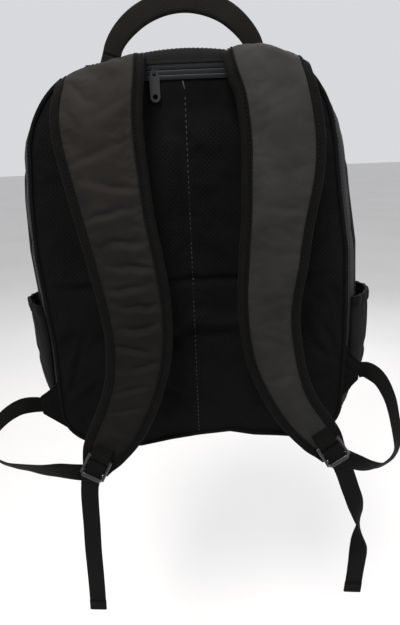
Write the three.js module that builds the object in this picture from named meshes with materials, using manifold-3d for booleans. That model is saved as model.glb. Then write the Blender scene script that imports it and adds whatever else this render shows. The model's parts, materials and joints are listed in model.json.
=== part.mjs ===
// A racket backpack hung by its haul handle, built as a three.js scene graph in millimetres.
// Pack frame: X across the back, +Y away from the wearer, +Z up, base at z = 0, back face at y = 0.
// The exported group moves that frame so that its origin is the grip point inside the haul handle.
import * as THREE from "three";
import { mergeVertices } from "three/addons/utils/BufferGeometryUtils.js";
import Module from "manifold-3d";

const wasm = await Module();
wasm.setup();

const GAP = 0.3; // clearance between pieces that touch on the real object
const SIDES = { left: -1, right: 1 };

// Body: the rounded outline of the back face, whose walls bulge half way through the depth.
const FOOT_HALF_WIDTH = 176;
const TOP_HALF_WIDTH = 168;
const SHOULDER_Z = 440;
const CROWN = 10;
const BASE_CORNER = 40;
const TOP_CORNER = 90;
const BASE_DEPTH = 150;
const DEPTH_SLOPE = -0.09; // the front face leans back towards the top
const SIDE_BULGE = 32;
const SIDE_BULGE_SLOPE = -0.022;
const TOP_BULGE = 4;
const FRONT_TAPER = 8;
const WALL = 3;

// Back panel layers, from the wearer inwards, and what stands behind them.
const MESH_THICK = 3;
const FOAM_THICK = 7.5;
const LINING_THICK = 1.2;
const PIPING_RADIUS = 2.2;
const SLEEVE = { halfWidth: 152, low: 8, high: 300, corner: 12, y: 34, thick: 2 };
const BOARD = { halfWidth: 130, y0: 44, y1: 134, thick: 2 };

// Zips: a tape each side of the coil, and sliders that carry a puller on a bail.
const REAR_ZIP_Z = 429;
const REAR_ZIP_HALF = 98;
const REAR_TAPE = 5.2;
const REAR_TAPE_Y = 0.4;
const TAPE = 5.5;
const COIL = 2.4;
const TAPE_THICK = 1.2;
const SLIDER = { long: 11, wide: 8, thick: 2 };
const BAIL = { halfWide: 1.1, long: 5.4, post: 1.1, bar: 1.2, rise: 2.6 };
const PULLER_THICK = 1.8;
const PULLER_EYE = { halfWide: 1.7, top: -0.65, low: -4.6 };
const REAR_PULLER = { wide: 10.5, long: 29 };
const MAIN_PULLER = { wide: 7, long: 24 };
const REAR_SLIDER_X = -30.5;
const MAIN_SLIDER_Z = 340;
const POCKET_SLIDER_X = -96;

// Shoulder straps: z, distance from the centre line, y, width and thickness down their middle.
// The straps hang a little to +X, by lean for each mm of drop, and the right one ends higher, by lift.
const STRAP_HANG = { left: { lean: 0.042, lift: 12 }, right: { lean: 0.04, lift: 26 } };
const STRAP_ROOT_Z = 440;
const STRAP_LINE = [
  [440, 82, -1, 86, 5],
  [441, 82, -7, 87, 6],
  [437, 82, -18, 88, 8],
  [424, 83, -26, 90, 11],
  [400, 87, -33, 90, 13],
  [362, 89.5, -39, 88, 13],
  [325, 89, -43, 85, 13],
  [280, 83, -47, 78, 13],
  [235, 76, -50, 72, 13],
  [190, 72, -52, 67, 13],
  [150, 73.5, -54, 62, 13],
  [110, 81, -58, 58, 12],
  [75, 93, -62, 56, 11],
  [45, 107, -67, 54, 11],
  [20, 123, -72, 50, 10],
  [4, 132, -75, 44, 8],
  [-8, 138, -77, 26, 6],
];
const STRAP_STEPS = 30;
const STRAP_BORDER = 9; // width of the wrapped edge that shows beside the face panel
const STRAP_SKIN = 1.5;

// Webbing, and the ladder locks that it threads: v runs down the strap from the lock's upper bar.
const WEB_WIDE = 20;
const WEB_THICK = 1.4;
const LOCK = { wide: 29, long: 24, thick: 3.6, rail: 3, bar: 3, slot: 5.8, lift: 9, frame: 27 };
const TAB = { long: 24, thick: 2, wide: 21, clear: 1.1 };
const GUSSET = { x: 176.6, reach: 20, rootHalf: 32, tipHalf: 11, y0: -5, y1: -2 };
const GUSSET_Z = { left: 52, right: 98 };
const WEB_LOOPS = {
  left: [
    [-198, -4, 52], [-207, -5, 53], [-222, -14, 55], [-240, -26, 47], [-252, -36, 33],
    [-254, -46, 18], [-244, -54, 8], [-226, -60, 3], [-204, -66, 3], [-180, -73, 4],
    [-157, -80, 8], [-138, -84.5, 9], [-124, -85.5, 9],
  ],
  right: [
    [198, -4, 98], [206, -5, 97], [219, -14, 86], [229, -26, 64], [234, -36, 42], [235, -46, 22],
    [231, -56, 10], [221, -64, 5], [207, -72, 5], [190, -79, 10], [176, -84, 16], [163, -85.5, 22],
  ],
};
const WEB_LOOP_NORMALS = {
  left: [
    [0, -1, 0], [0, -1, 0.2], [-0.2, -1, 0.6], [-0.5, -1, 0.6], [-0.9, -1, 0.3],
    [-1, -1, -0.2], [-0.6, -1, -0.7], [-0.2, -1, -0.8], [0, -1, -0.6], [0, -1, -0.3],
    [0, -1, 0], [0, -1, 0.1], [0, -1, 0.15],
  ],
  right: [
    [0, -1, 0], [0.1, -1, 0.1], [0.4, -1, 0.3], [0.6, -1, 0.2], [0.7, -1, 0], [0.7, -1, 0],
    [0.7, -1, -0.3], [0.4, -1, -0.6], [0, -1, -0.7], [0, -1, -0.3], [0, -1, 0], [0, -1, 0.15],
  ],
};
const WEB_TAILS = {
  left: [
    [-121, -94.5, 3], [-123, -94, -9], [-124.5, -93.5, -28], [-126, -93, -58], [-128, -93, -92],
    [-129, -93, -124], [-130, -93, -152], [-131, -93, -174],
  ],
  right: [
    [160, -94.5, 16], [164, -94, 5], [169, -93.5, -10], [176, -93, -30], [181.5, -93, -50],
    [184.5, -93, -72], [185, -93, -92], [184.5, -93, -114], [183.5, -93, -134], [182.5, -93, -151],
  ],
};
const TAIL_TURNS = { left: 0, right: 0.5 }; // turns of twist along the hanging tail
const HEM = { long: 14, thick: 3.4 };

// Haul handle: a flat band on edge, with a pad on each side of it along the grip.
const HANDLE_Y = 8;
const HANDLE_LINE = [
  [-74, 447], [-71, 455], [-62, 467], [-44, 481], [-22, 490], [0, 493],
  [22, 490], [44, 481], [61, 467], [70, 455], [73, 447],
];
const HANDLE_WIDE = 19;
const BAND_THICK = 2.6;
const PAD_THICK = 3.8;
const PAD_ENDS = 0.16; // how far along the band the pads start, as a share of its length
const GRIP_Z = 493 - HANDLE_WIDE / 2;

// Front flap above its hinge, and the pocket on it.
const HINGE_Z = BASE_CORNER;
const PANEL_THICK = 3;
const POCKET = { halfWidth: 118, low: 60, high: 236, corner: 34, deep: 30, wall: 2.4, zipZ: 200 };
const POCKET_ZIP = 12;

// Side pockets: a bulged sheet on each side wall, open at the top under an elastic hem.
const SIDE_POCKET = { low: 48, high: 166, v0: 0.1, v1: 0.82, mouth: 15, thick: 1.8, hem: 12 };

const MATERIALS = {
  face: fabric(0x35332f, 0.72),
  mesh: fabric(0x141416, 0.95),
  border: fabric(0x1d1b1b, 0.9),
  shell: fabric(0x232325, 0.85),
  webbing: fabric(0x161615, 0.8),
  foam: fabric(0x3a3a3c, 0.95),
  lining: fabric(0x55585c, 0.9),
  coated: fabric(0x1b2026, 0.35),
  plastic: fabric(0x1c1c1c, 0.4),
  metal: new THREE.MeshStandardMaterial({ color: 0x24262a, roughness: 0.35, metalness: 0.8 }),
};

function fabric(color, roughness) {
  return new THREE.MeshStandardMaterial({ color, roughness, metalness: 0 });
}

// ---- Solids -------------------------------------------------------------------------------

const vector = (x, y, z) => new THREE.Vector3(x, y, z);

// A copy of a closed geometry without an index, with its faces turned outwards.
function facingOut(geometry) {
  const flat = geometry.index ? geometry.toNonIndexed() : geometry;
  const xyz = Float32Array.from(flat.attributes.position.array);
  const corner = (i) => vector(xyz[i], xyz[i + 1], xyz[i + 2]);
  let volume = 0;
  for (let i = 0; i < xyz.length; i += 9)
    volume += corner(i).dot(corner(i + 3).cross(corner(i + 6)));
  if (volume < 0)
    for (let i = 0; i < xyz.length; i += 9) {
      const second = xyz.slice(i + 3, i + 6);
      xyz.copyWithin(i + 3, i + 6, i + 9);
      xyz.set(second, i + 6);
    }
  const made = new THREE.BufferGeometry();
  made.setAttribute("position", new THREE.BufferAttribute(xyz, 3));
  return made;
}

// A box with segments whose points are moved by place(u, v, w), each from 0 to 1.
function bent(nu, nv, nw, place) {
  const box = new THREE.BoxGeometry(1, 1, 1, nu, nv, nw);
  const p = box.attributes.position;
  for (let i = 0; i < p.count; i++) {
    const at = place(p.getX(i) + 0.5, p.getY(i) + 0.5, p.getZ(i) + 0.5);
    p.setXYZ(i, at.x, at.y, at.z);
  }
  return facingOut(box);
}

// A solid through frames, each with a centre and axes a and b; section(i) gives its corners in a and b.
function loft(frames, section) {
  const rings = frames.map((f, i) =>
    section(i).map(([a, b]) => f.centre.clone().addScaledVector(f.a, a).addScaledVector(f.b, b)),
  );
  const xyz = [];
  const face = (...corners) => corners.forEach((q) => xyz.push(q.x, q.y, q.z));
  for (let i = 0; i + 1 < rings.length; i++)
    for (let j = 0; j < rings[i].length; j++) {
      const k = (j + 1) % rings[i].length;
      const [a, b, c, d] = [rings[i][j], rings[i][k], rings[i + 1][k], rings[i + 1][j]];
      if (j < rings[i].length / 2) face(a, b, c, a, c, d); // the two broad faces are split the same way
      else face(a, b, d, b, c, d);
    }
  const [first, last] = [rings[0], rings[rings.length - 1]];
  for (let j = 1; j + 1 < first.length; j++) {
    face(first[0], first[j + 1], first[j]);
    face(last[0], last[j], last[j + 1]);
  }
  const made = new THREE.BufferGeometry();
  made.setAttribute("position", new THREE.BufferAttribute(new Float32Array(xyz), 3));
  return facingOut(made);
}

// A path's points without the doubled ones where two of its curves meet.
function pathPoints(path) {
  const points = path.getPoints(6);
  return points.filter((q, i) => q.distanceTo(points[(i + 1) % points.length]) > 1e-4);
}

// A plate whose shape lies in X and Z, from y0 to y1 at z = 0; slope moves it along Y with z.
function plate(shape, y0, y1, slope = 0) {
  const outline = new THREE.Shape(pathPoints(shape));
  outline.holes = shape.holes.map((hole) => new THREE.Path(pathPoints(hole)));
  const made = new THREE.ExtrudeGeometry(outline, { depth: y1 - y0, bevelEnabled: false });
  const p = made.attributes.position;
  for (let i = 0; i < p.count; i++)
    p.setXYZ(i, p.getX(i), y1 - p.getZ(i) + slope * p.getY(i), p.getY(i));
  return facingOut(made);
}

function toSolid(geometry) {
  const bare = geometry.clone();
  for (const name of Object.keys(bare.attributes)) if (name !== "position") bare.deleteAttribute(name);
  const merged = mergeVertices(bare, 1e-4);
  const vertProperties = new Float32Array(merged.attributes.position.array);
  const triVerts = new Uint32Array(merged.index.array);
  return new wasm.Manifold(new wasm.Mesh({ numProp: 3, vertProperties, triVerts }));
}

function fromSolid(solid) {
  const mesh = solid.getMesh();
  const made = new THREE.BufferGeometry();
  made.setAttribute("position", new THREE.BufferAttribute(Float32Array.from(mesh.vertProperties), 3));
  made.setIndex([...mesh.triVerts]);
  return made;
}

function block(x0, x1, y0, y1, z0, z1) {
  const box = new THREE.BoxGeometry(x1 - x0, y1 - y0, z1 - z0);
  return box.translate((x0 + x1) / 2, (y0 + y1) / 2, (z0 + z1) / 2);
}

function rounded(halfWidth, low, high, corner) {
  const s = new THREE.Shape();
  const [x, z0, z1] = [halfWidth - corner, low + corner, high - corner];
  s.moveTo(-x, low);
  s.lineTo(x, low);
  s.absarc(x, z0, corner, -Math.PI / 2, 0);
  s.lineTo(halfWidth, z1);
  s.absarc(x, z1, corner, 0, Math.PI / 2);
  s.lineTo(-x, high);
  s.absarc(-x, z1, corner, Math.PI / 2, Math.PI);
  s.lineTo(-halfWidth, z0);
  s.absarc(-x, z0, corner, Math.PI, 1.5 * Math.PI);
  return s;
}

// A polygon's part between two heights.
function slice(points, low, high) {
  const clip = (list, sign, limit) => {
    const kept = [];
    list.forEach((a, i) => {
      const b = list[(i + 1) % list.length];
      const [da, db] = [sign * (limit - a.y), sign * (limit - b.y)];
      if (da >= 0) kept.push(a);
      if (da >= 0 !== db >= 0) kept.push(a.clone().lerp(b, da / (da - db)));
    });
    return kept;
  };
  return new THREE.Shape(clip(clip(points, 1, high), -1, low));
}

// ---- The body's outline -------------------------------------------------------------------

const OUTLINE = bodyOutline();
const BOTTOM = 0;
const RIGHT_FOOT = 1;
const RIGHT_SIDE = 2;
const RIGHT_TOP = 3;
const CREST = 4;
const LEFT_TOP = 5;
const LEFT_SIDE = 6;
const LEFT_FOOT = 7;
const CURVE_STEPS = [1, 5, 7, 8, 6, 8, 7, 5];

function bodyOutline() {
  const foot = FOOT_HALF_WIDTH - BASE_CORNER;
  const top = TOP_HALF_WIDTH - TOP_CORNER;
  const shoulder = SHOULDER_Z - TOP_CORNER;
  const point = (x, z) => new THREE.Vector2(x, z);
  const peak = point(0, SHOULDER_Z + 2 * CROWN);
  const arc = (x, z, r, quarter) =>
    new THREE.EllipseCurve(x, z, r, r, (quarter * Math.PI) / 2, ((quarter + 1) * Math.PI) / 2);
  return [
    new THREE.LineCurve(point(-foot, 0), point(foot, 0)),
    arc(foot, BASE_CORNER, BASE_CORNER, -1),
    new THREE.LineCurve(point(FOOT_HALF_WIDTH, BASE_CORNER), point(TOP_HALF_WIDTH, shoulder)),
    arc(top, shoulder, TOP_CORNER, 0),
    new THREE.QuadraticBezierCurve(point(top, SHOULDER_Z), peak, point(-top, SHOULDER_Z)),
    arc(-top, shoulder, TOP_CORNER, 1),
    new THREE.LineCurve(point(-TOP_HALF_WIDTH, shoulder), point(-FOOT_HALF_WIDTH, BASE_CORNER)),
    arc(-foot, BASE_CORNER, BASE_CORNER, 2),
  ];
}

// Points with outward normals along a run of [curve, from, to], trimmed by half a gap at both ends.
// The sides lean in a little, but they count as upright, so that they meet the corners squarely.
function stations(run) {
  const found = [];
  run.forEach(([number, from = 0, to = 1], n) => {
    const curve = OUTLINE[number];
    const trim = GAP / 2 / curve.getLength();
    const start = n === 0 ? from + trim : from;
    const end = n === run.length - 1 ? to - trim : to;
    const steps = Math.ceil(CURVE_STEPS[number] * (to - from));
    for (let i = n ? 1 : 0; i <= steps; i++) {
      const t = start + ((end - start) * i) / steps;
      const tangent = curve.getTangent(t);
      const n = new THREE.Vector2(tangent.y, -tangent.x);
      if (number === RIGHT_SIDE || number === LEFT_SIDE) n.set(Math.sign(n.x), 0);
      found.push({ p: curve.getPoint(t), n });
    }
  });
  return found;
}

const depthAt = (z) => BASE_DEPTH + DEPTH_SLOPE * z;

// The wall's point at a station: v runs from 0 at the back face to 1 at the front, out is along the normal.
// The bulge fades quickly round the corners, so that the base stays flat.
function wallPoint({ p, n }, v, out) {
  const side = (SIDE_BULGE + SIDE_BULGE_SLOPE * p.y) * n.x ** 4;
  const top = n.y > 0 ? TOP_BULGE * n.y * n.y : 0;
  const taper = FRONT_TAPER * v * (n.y < 0 ? n.x * n.x : 1);
  const reach = (side + top) * Math.sin(Math.PI * v) - taper + out;
  return vector(p.x + n.x * reach, v * depthAt(p.y), p.y + n.y * reach);
}

// A wall over a run of the outline.
function wall(run, nv) {
  const along = stations(run);
  const last = along.length - 1;
  return bent(last, nv, 1, (u, v, w) => wallPoint(along[Math.round(u * last)], v, -WALL * w));
}

const WHOLE = [BOTTOM, RIGHT_FOOT, RIGHT_SIDE, RIGHT_TOP, CREST, LEFT_TOP, LEFT_SIDE, LEFT_FOOT];

// The outline moved along its normal, at the back face or at the front, between two heights.
function inset(out, { low = -1000, high = 1000, front = false } = {}) {
  const points = stations(WHOLE.map((c) => [c]))
    .slice(0, -1)
    .map((s) => {
      const q = wallPoint(s, front ? 1 : 0, out);
      return new THREE.Vector2(q.x, q.z);
    });
  return slice(points, low, high);
}

// A strip on the front face that follows the outline above the hinge, from out to out + wide.
function frontStrip(out, wide, thick) {
  const along = stations([[RIGHT_SIDE], [RIGHT_TOP], [CREST], [LEFT_TOP], [LEFT_SIDE]]);
  const last = along.length - 1;
  return bent(last, 1, 1, (u, v, w) => {
    const q = wallPoint(along[Math.round(u * last)], 1, out + wide * v);
    const z = Math.max(q.z, HINGE_Z + GAP);
    return vector(q.x, depthAt(z) - thick * w, z);
  });
}

// ---- Assembly -----------------------------------------------------------------------------

const pack = new THREE.Group();
pack.position.set(0, -HANDLE_Y, -GRIP_Z);

function add(name, geometry, material, parent = pack) {
  const mesh = new THREE.Mesh(geometry, material);
  mesh.name = name;
  parent.add(mesh);
  return mesh;
}

function addBody() {
  const inside = -WALL - GAP;
  const foamY = MESH_THICK + GAP;
  const liningY = foamY + FOAM_THICK + GAP;
  const zipLow = REAR_ZIP_Z - REAR_TAPE - GAP;
  const zipHigh = REAR_ZIP_Z + REAR_TAPE + GAP;
  add("back_mesh_cover", plate(inset(inside, { high: zipLow }), 0, MESH_THICK), MATERIALS.mesh);
  add("top_yoke", plate(inset(inside, { low: zipHigh }), 0, MESH_THICK), MATERIALS.shell);
  add("back_foam_pad", plate(inset(inside), foamY, foamY + FOAM_THICK), MATERIALS.foam);
  add("back_lining", plate(inset(inside), liningY, liningY + LINING_THICK), MATERIALS.lining);
  add("side_panel_right", wall([[RIGHT_SIDE]], 8), MATERIALS.shell);
  add("side_panel_left", wall([[LEFT_SIDE]], 8), MATERIALS.shell);
  add("top_panel", wall([[RIGHT_TOP], [CREST], [LEFT_TOP]], 6), MATERIALS.shell);
  add("base_panel", wall([[LEFT_FOOT], [BOTTOM], [RIGHT_FOOT]], 4), MATERIALS.shell);
  add("back_piping", piping(), MATERIALS.border);
  const sleeve = rounded(SLEEVE.halfWidth, SLEEVE.low, SLEEVE.high, SLEEVE.corner);
  add("racket_sleeve", plate(sleeve, SLEEVE.y, SLEEVE.y + SLEEVE.thick), MATERIALS.lining);
  const floor = WALL + GAP;
  const board = block(-BOARD.halfWidth, BOARD.halfWidth, BOARD.y0, BOARD.y1, floor, floor + BOARD.thick);
  add("base_board", facingOut(board), MATERIALS.foam);
}

// Round piping on the back face's edge, down one side, across the base and up the other.
function piping() {
  const along = stations([
    [LEFT_TOP, 0.5, 1], [LEFT_SIDE], [LEFT_FOOT], [BOTTOM], [RIGHT_FOOT], [RIGHT_SIDE], [RIGHT_TOP, 0, 0.5],
  ]);
  const centre = PIPING_RADIUS + GAP;
  const frames = along.map(({ p, n }) => ({
    centre: vector(p.x - n.x * centre, -centre, p.y - n.y * centre),
    a: vector(n.x, 0, n.y),
    b: vector(0, -1, 0),
  }));
  return loft(frames, () => roundSection(PIPING_RADIUS, 6));
}

function roundSection(radius, sides) {
  return Array.from({ length: sides }, (_, i) => {
    const angle = (2 * Math.PI * i) / sides;
    return [radius * Math.cos(angle), radius * Math.sin(angle)];
  });
}

// ---- Zips ---------------------------------------------------------------------------------

// A slider on the plane y = 0 with its top to -Y; its bail's window is centred on z = 0.
function sliderGeometry() {
  const top = -SLIDER.thick;
  const window = top - BAIL.rise;
  const base = plate(rounded(SLIDER.wide / 2, -SLIDER.long / 2, SLIDER.long / 2, 2), top, 0);
  const half = BAIL.long / 2;
  const arch = block(-BAIL.halfWide, BAIL.halfWide, window - BAIL.bar, top + 1, -half, half);
  const hole = block(-3, 3, window, top, -half + BAIL.post, half - BAIL.post);
  return fromSolid(toSolid(base).add(toSolid(arch)).subtract(toSolid(hole)));
}

// A puller hanging from the bail: its top bar is centred on the origin, and it has a round hole low down.
function pullerGeometry({ wide, long }) {
  const w = wide / 2;
  const s = new THREE.Shape();
  s.moveTo(-w, w - long);
  s.absarc(0, w - long, w, Math.PI, 2 * Math.PI);
  s.lineTo(w, PULLER_EYE.low - 1);
  s.lineTo(PULLER_EYE.halfWide + 1.5, -PULLER_EYE.top);
  s.lineTo(-PULLER_EYE.halfWide - 1.5, -PULLER_EYE.top);
  s.lineTo(-w, PULLER_EYE.low - 1);
  const eye = new THREE.Path();
  eye.moveTo(-PULLER_EYE.halfWide, PULLER_EYE.low);
  eye.lineTo(-PULLER_EYE.halfWide, PULLER_EYE.top);
  eye.lineTo(PULLER_EYE.halfWide, PULLER_EYE.top);
  eye.lineTo(PULLER_EYE.halfWide, PULLER_EYE.low);
  const hole = roundSection(w / 2, 12).map(([x, z]) => new THREE.Vector2(x, z + w - long));
  s.holes.push(eye, new THREE.Path(hole));
  return plate(s, -PULLER_THICK / 2, PULLER_THICK / 2);
}

// A slider and its puller at a point, with its top to -Y, or turned round to +Y on a leaning face.
function addSlider(name, at, size, lean = null) {
  const group = new THREE.Group();
  group.position.copy(at);
  if (lean !== null) group.rotation.set(lean, 0, Math.PI);
  pack.add(group);
  add(`${name}_slider`, sliderGeometry(), MATERIALS.metal, group);
  const puller = add(`${name}_puller`, pullerGeometry(size), MATERIALS.plastic, group);
  puller.position.set(0, -SLIDER.thick - BAIL.rise / 2, 0);
}

function addRearZip() {
  const half = REAR_ZIP_HALF;
  const tapes = {
    lower: [REAR_ZIP_Z - REAR_TAPE, REAR_ZIP_Z - GAP / 2],
    upper: [REAR_ZIP_Z + GAP / 2, REAR_ZIP_Z + REAR_TAPE],
  };
  for (const [name, [low, high]] of Object.entries(tapes)) {
    const tape = block(-half, half, REAR_TAPE_Y, REAR_TAPE_Y + TAPE_THICK, low, high);
    add(`rear_zip_tape_${name}`, facingOut(tape), MATERIALS.coated);
  }
  addSlider("rear_zip", vector(REAR_SLIDER_X, 0.1, REAR_ZIP_Z), REAR_PULLER);
}

const OUTER_TAPE = -WALL - GAP - TAPE;
const COIL_OUT = OUTER_TAPE - GAP - COIL;
const INNER_TAPE = COIL_OUT - GAP - TAPE;
const LEAN = Math.atan(-DEPTH_SLOPE);

function addMainZip() {
  add("main_zip_tape_outer", frontStrip(OUTER_TAPE, TAPE, TAPE_THICK), MATERIALS.border);
  add("main_zip_coil", frontStrip(COIL_OUT, COIL, TAPE_THICK + 0.4), MATERIALS.plastic);
  add("main_zip_tape_inner", frontStrip(INNER_TAPE, TAPE, TAPE_THICK), MATERIALS.border);
  const sliderOut = COIL_OUT + 0.1 + SLIDER.wide / 2;
  for (const [name, side] of Object.entries(SIDES)) {
    const q = wallPoint(sideStation(side, MAIN_SLIDER_Z), 1, sliderOut);
    addSlider(`main_zip_${name}`, vector(q.x, depthAt(q.z) + GAP, q.z), MAIN_PULLER, LEAN);
  }
}

// The point of a side's straight line at a height.
function sideStation(side, z) {
  const t = (z - BASE_CORNER) / (SHOULDER_Z - TOP_CORNER - BASE_CORNER);
  const x = FOOT_HALF_WIDTH + (TOP_HALF_WIDTH - FOOT_HALF_WIDTH) * t;
  return { p: new THREE.Vector2(side * x, z), n: new THREE.Vector2(side, 0) };
}

// ---- Front flap, pockets ------------------------------------------------------------------

function addFront() {
  const y = BASE_DEPTH - PANEL_THICK;
  const flap = inset(INNER_TAPE - GAP, { low: HINGE_Z + GAP, front: true });
  add("front_panel", plate(flap, y, BASE_DEPTH, DEPTH_SLOPE), MATERIALS.shell);
  const band = inset(-WALL - GAP, { high: HINGE_Z - GAP, front: true });
  add("front_base_band", plate(band, y, BASE_DEPTH, DEPTH_SLOPE), MATERIALS.shell);
  const back = BASE_DEPTH + GAP;
  const front = back + POCKET.deep;
  const outer = rounded(POCKET.halfWidth, POCKET.low, POCKET.high, POCKET.corner);
  const { wall: w } = POCKET;
  outer.holes.push(rounded(POCKET.halfWidth - w, POCKET.low + w, POCKET.high - w, POCKET.corner - w));
  add("front_pocket_wall", plate(outer, back, front, DEPTH_SLOPE), MATERIALS.shell);
  const cover = rounded(POCKET.halfWidth, POCKET.low, POCKET.high, POCKET.corner).getPoints(6);
  const [zipLow, zipHigh] = [POCKET.zipZ - POCKET_ZIP / 2, POCKET.zipZ + POCKET_ZIP / 2];
  const pieces = {
    front_pocket_face: [POCKET.low, zipLow - GAP, w, MATERIALS.shell],
    front_pocket_zip: [zipLow, zipHigh, TAPE_THICK, MATERIALS.border],
    front_pocket_hood: [zipHigh + GAP, POCKET.high, w, MATERIALS.shell],
  };
  for (const [name, [low, high, thick, material]] of Object.entries(pieces))
    add(name, plate(slice(cover, low, high), front + GAP, front + GAP + thick, DEPTH_SLOPE), material);
  const sliderY = front + 2 * GAP + TAPE_THICK + DEPTH_SLOPE * POCKET.zipZ;
  addSlider("front_pocket", vector(POCKET_SLIDER_X, sliderY, POCKET.zipZ), MAIN_PULLER, LEAN);
}

// A sheet on a side wall between two heights; it stands away from the wall in its middle.
function pocketSheet(side, low, high, nz, rise) {
  const { v0, v1, mouth, thick } = SIDE_POCKET;
  return bent(8, nz, 1, (s, h, w) => {
    const away = GAP + mouth * Math.sqrt(Math.sin(Math.PI * s)) * rise(h) + thick * w;
    return wallPoint(sideStation(side, low + (high - low) * h), v0 + (v1 - v0) * s, away);
  });
}

function addSidePockets() {
  const { low, high, hem } = SIDE_POCKET;
  for (const [name, side] of Object.entries(SIDES)) {
    const sheet = pocketSheet(side, low, high, 6, (h) => Math.sqrt(Math.min(1, h / 0.4)));
    add(`side_pocket_${name}`, sheet, MATERIALS.mesh);
    add(`side_pocket_hem_${name}`, pocketSheet(side, high + GAP, high + hem, 1, () => 1), MATERIALS.border);
  }
}

// ---- Shoulder straps, locks and webbing ---------------------------------------------------

// The strap's middle line: frames with a across, b out from the padding, and t down the strap.
function strapFrames(name) {
  const { lean, lift } = STRAP_HANG[name];
  const rows = STRAP_LINE.map(([z, x, y]) => {
    const drop = STRAP_ROOT_Z - z;
    return vector(SIDES[name] * x + lean * drop, y, z + (lift * Math.max(0, drop)) / STRAP_ROOT_Z);
  });
  const curve = new THREE.CatmullRomCurve3(rows, false, "centripetal");
  return Array.from({ length: STRAP_STEPS + 1 }, (_, i) => {
    const at = i / STRAP_STEPS;
    const t = curve.getTangent(at).normalize();
    const a = vector(1, 0, 0).addScaledVector(t, -t.x).normalize();
    const row = at * (STRAP_LINE.length - 1);
    const k = Math.min(STRAP_LINE.length - 2, Math.floor(row));
    const [above, below] = [STRAP_LINE[k], STRAP_LINE[k + 1]];
    const size = (column) => THREE.MathUtils.lerp(above[column], below[column], row - k);
    return { centre: curve.getPoint(at), a, b: t.clone().cross(a), t, wide: size(3), thick: size(4) };
  });
}

function addStrap(name, side) {
  const frames = strapFrames(name);
  const inner = (f) => f.wide / 2 - STRAP_BORDER;
  const slab = (a0, a1, b0, b1) => [[a0, b0], [a1, b0], [a1, b1], [a0, b1]];
  const layer = (low, high) => loft(frames, (i) => {
    const f = frames[i];
    return slab(-inner(f), inner(f), low(f.thick / 2), high(f.thick / 2));
  });
  const edge = (sign) => loft(frames, (i) => {
    const f = frames[i];
    const [near, far] = [inner(f) + GAP, f.wide / 2];
    const half = 0.36 * f.thick;
    return slab(sign * near, sign * far, -half, half);
  });
  add(`strap_face_${name}`, layer((h) => h - STRAP_SKIN, (h) => h), MATERIALS.face);
  const foam = layer((h) => -h + STRAP_SKIN + GAP, (h) => h - STRAP_SKIN - GAP);
  add(`strap_foam_${name}`, foam, MATERIALS.foam);
  add(`strap_lining_${name}`, layer((h) => -h, (h) => -h + STRAP_SKIN), MATERIALS.mesh);
  add(`strap_edge_inner_${name}`, edge(-side), MATERIALS.border);
  add(`strap_edge_outer_${name}`, edge(side), MATERIALS.border);
}

// The place of a ladder lock: local x across the strap, y out from its face, z up the strap.
function lockPlace(name) {
  const f = strapFrames(name)[LOCK.frame];
  const basis = new THREE.Matrix4().makeBasis(f.a.clone().negate(), f.b, f.t.clone().negate());
  return basis.setPosition(f.centre.clone().addScaledVector(f.b, f.thick / 2 + LOCK.lift));
}

function lockGeometry() {
  const { wide, long, thick, rail, bar, slot } = LOCK;
  const frame = rounded(wide / 2, bar / 2 - long, bar / 2, 2.5);
  for (const top of [-bar / 2, -1.5 * bar - slot]) {
    const hole = new THREE.Path();
    const half = wide / 2 - rail;
    hole.moveTo(-half, top);
    hole.lineTo(half, top);
    hole.lineTo(half, top - slot);
    hole.lineTo(-half, top - slot);
    frame.holes.push(hole);
  }
  return plate(frame, -thick / 2, thick / 2);
}

// The folded webbing that holds the lock's upper bar: it rises from the strap's face to the bar.
function tabGeometry() {
  const root = -LOCK.lift + 1.6;
  const start = LOCK.bar / 2 + TAB.clear;
  return bent(1, 6, 1, (u, v, w) => {
    const rise = 0.5 - 0.5 * Math.cos(Math.PI * (1 - v));
    const out = root + (-TAB.thick / 2 - root) * rise + TAB.thick * w;
    return vector((u - 0.5) * TAB.wide, out, start + TAB.long * v);
  });
}

// A flat band along points, whose face points along the normals, one for each point.
function ribbon(points, normals, wide, thick, stepsPerPoint) {
  const curve = new THREE.CatmullRomCurve3(points.map((p) => vector(...p)), false, "centripetal");
  const count = (points.length - 1) * stepsPerPoint;
  const frames = Array.from({ length: count + 1 }, (_, i) => {
    const k = Math.min(points.length - 2, Math.floor(i / stepsPerPoint));
    const b = normals[k].clone().lerp(normals[k + 1], i / stepsPerPoint - k);
    const t = curve.getTangent(i / count).normalize();
    b.addScaledVector(t, -b.dot(t)).normalize();
    return { centre: curve.getPoint(i / count), a: new THREE.Vector3().crossVectors(t, b), b };
  });
  const [w, h] = [wide / 2, thick / 2];
  return loft(frames, () => [[-w, -h], [w, -h], [w, h], [-w, h]]);
}

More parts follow.
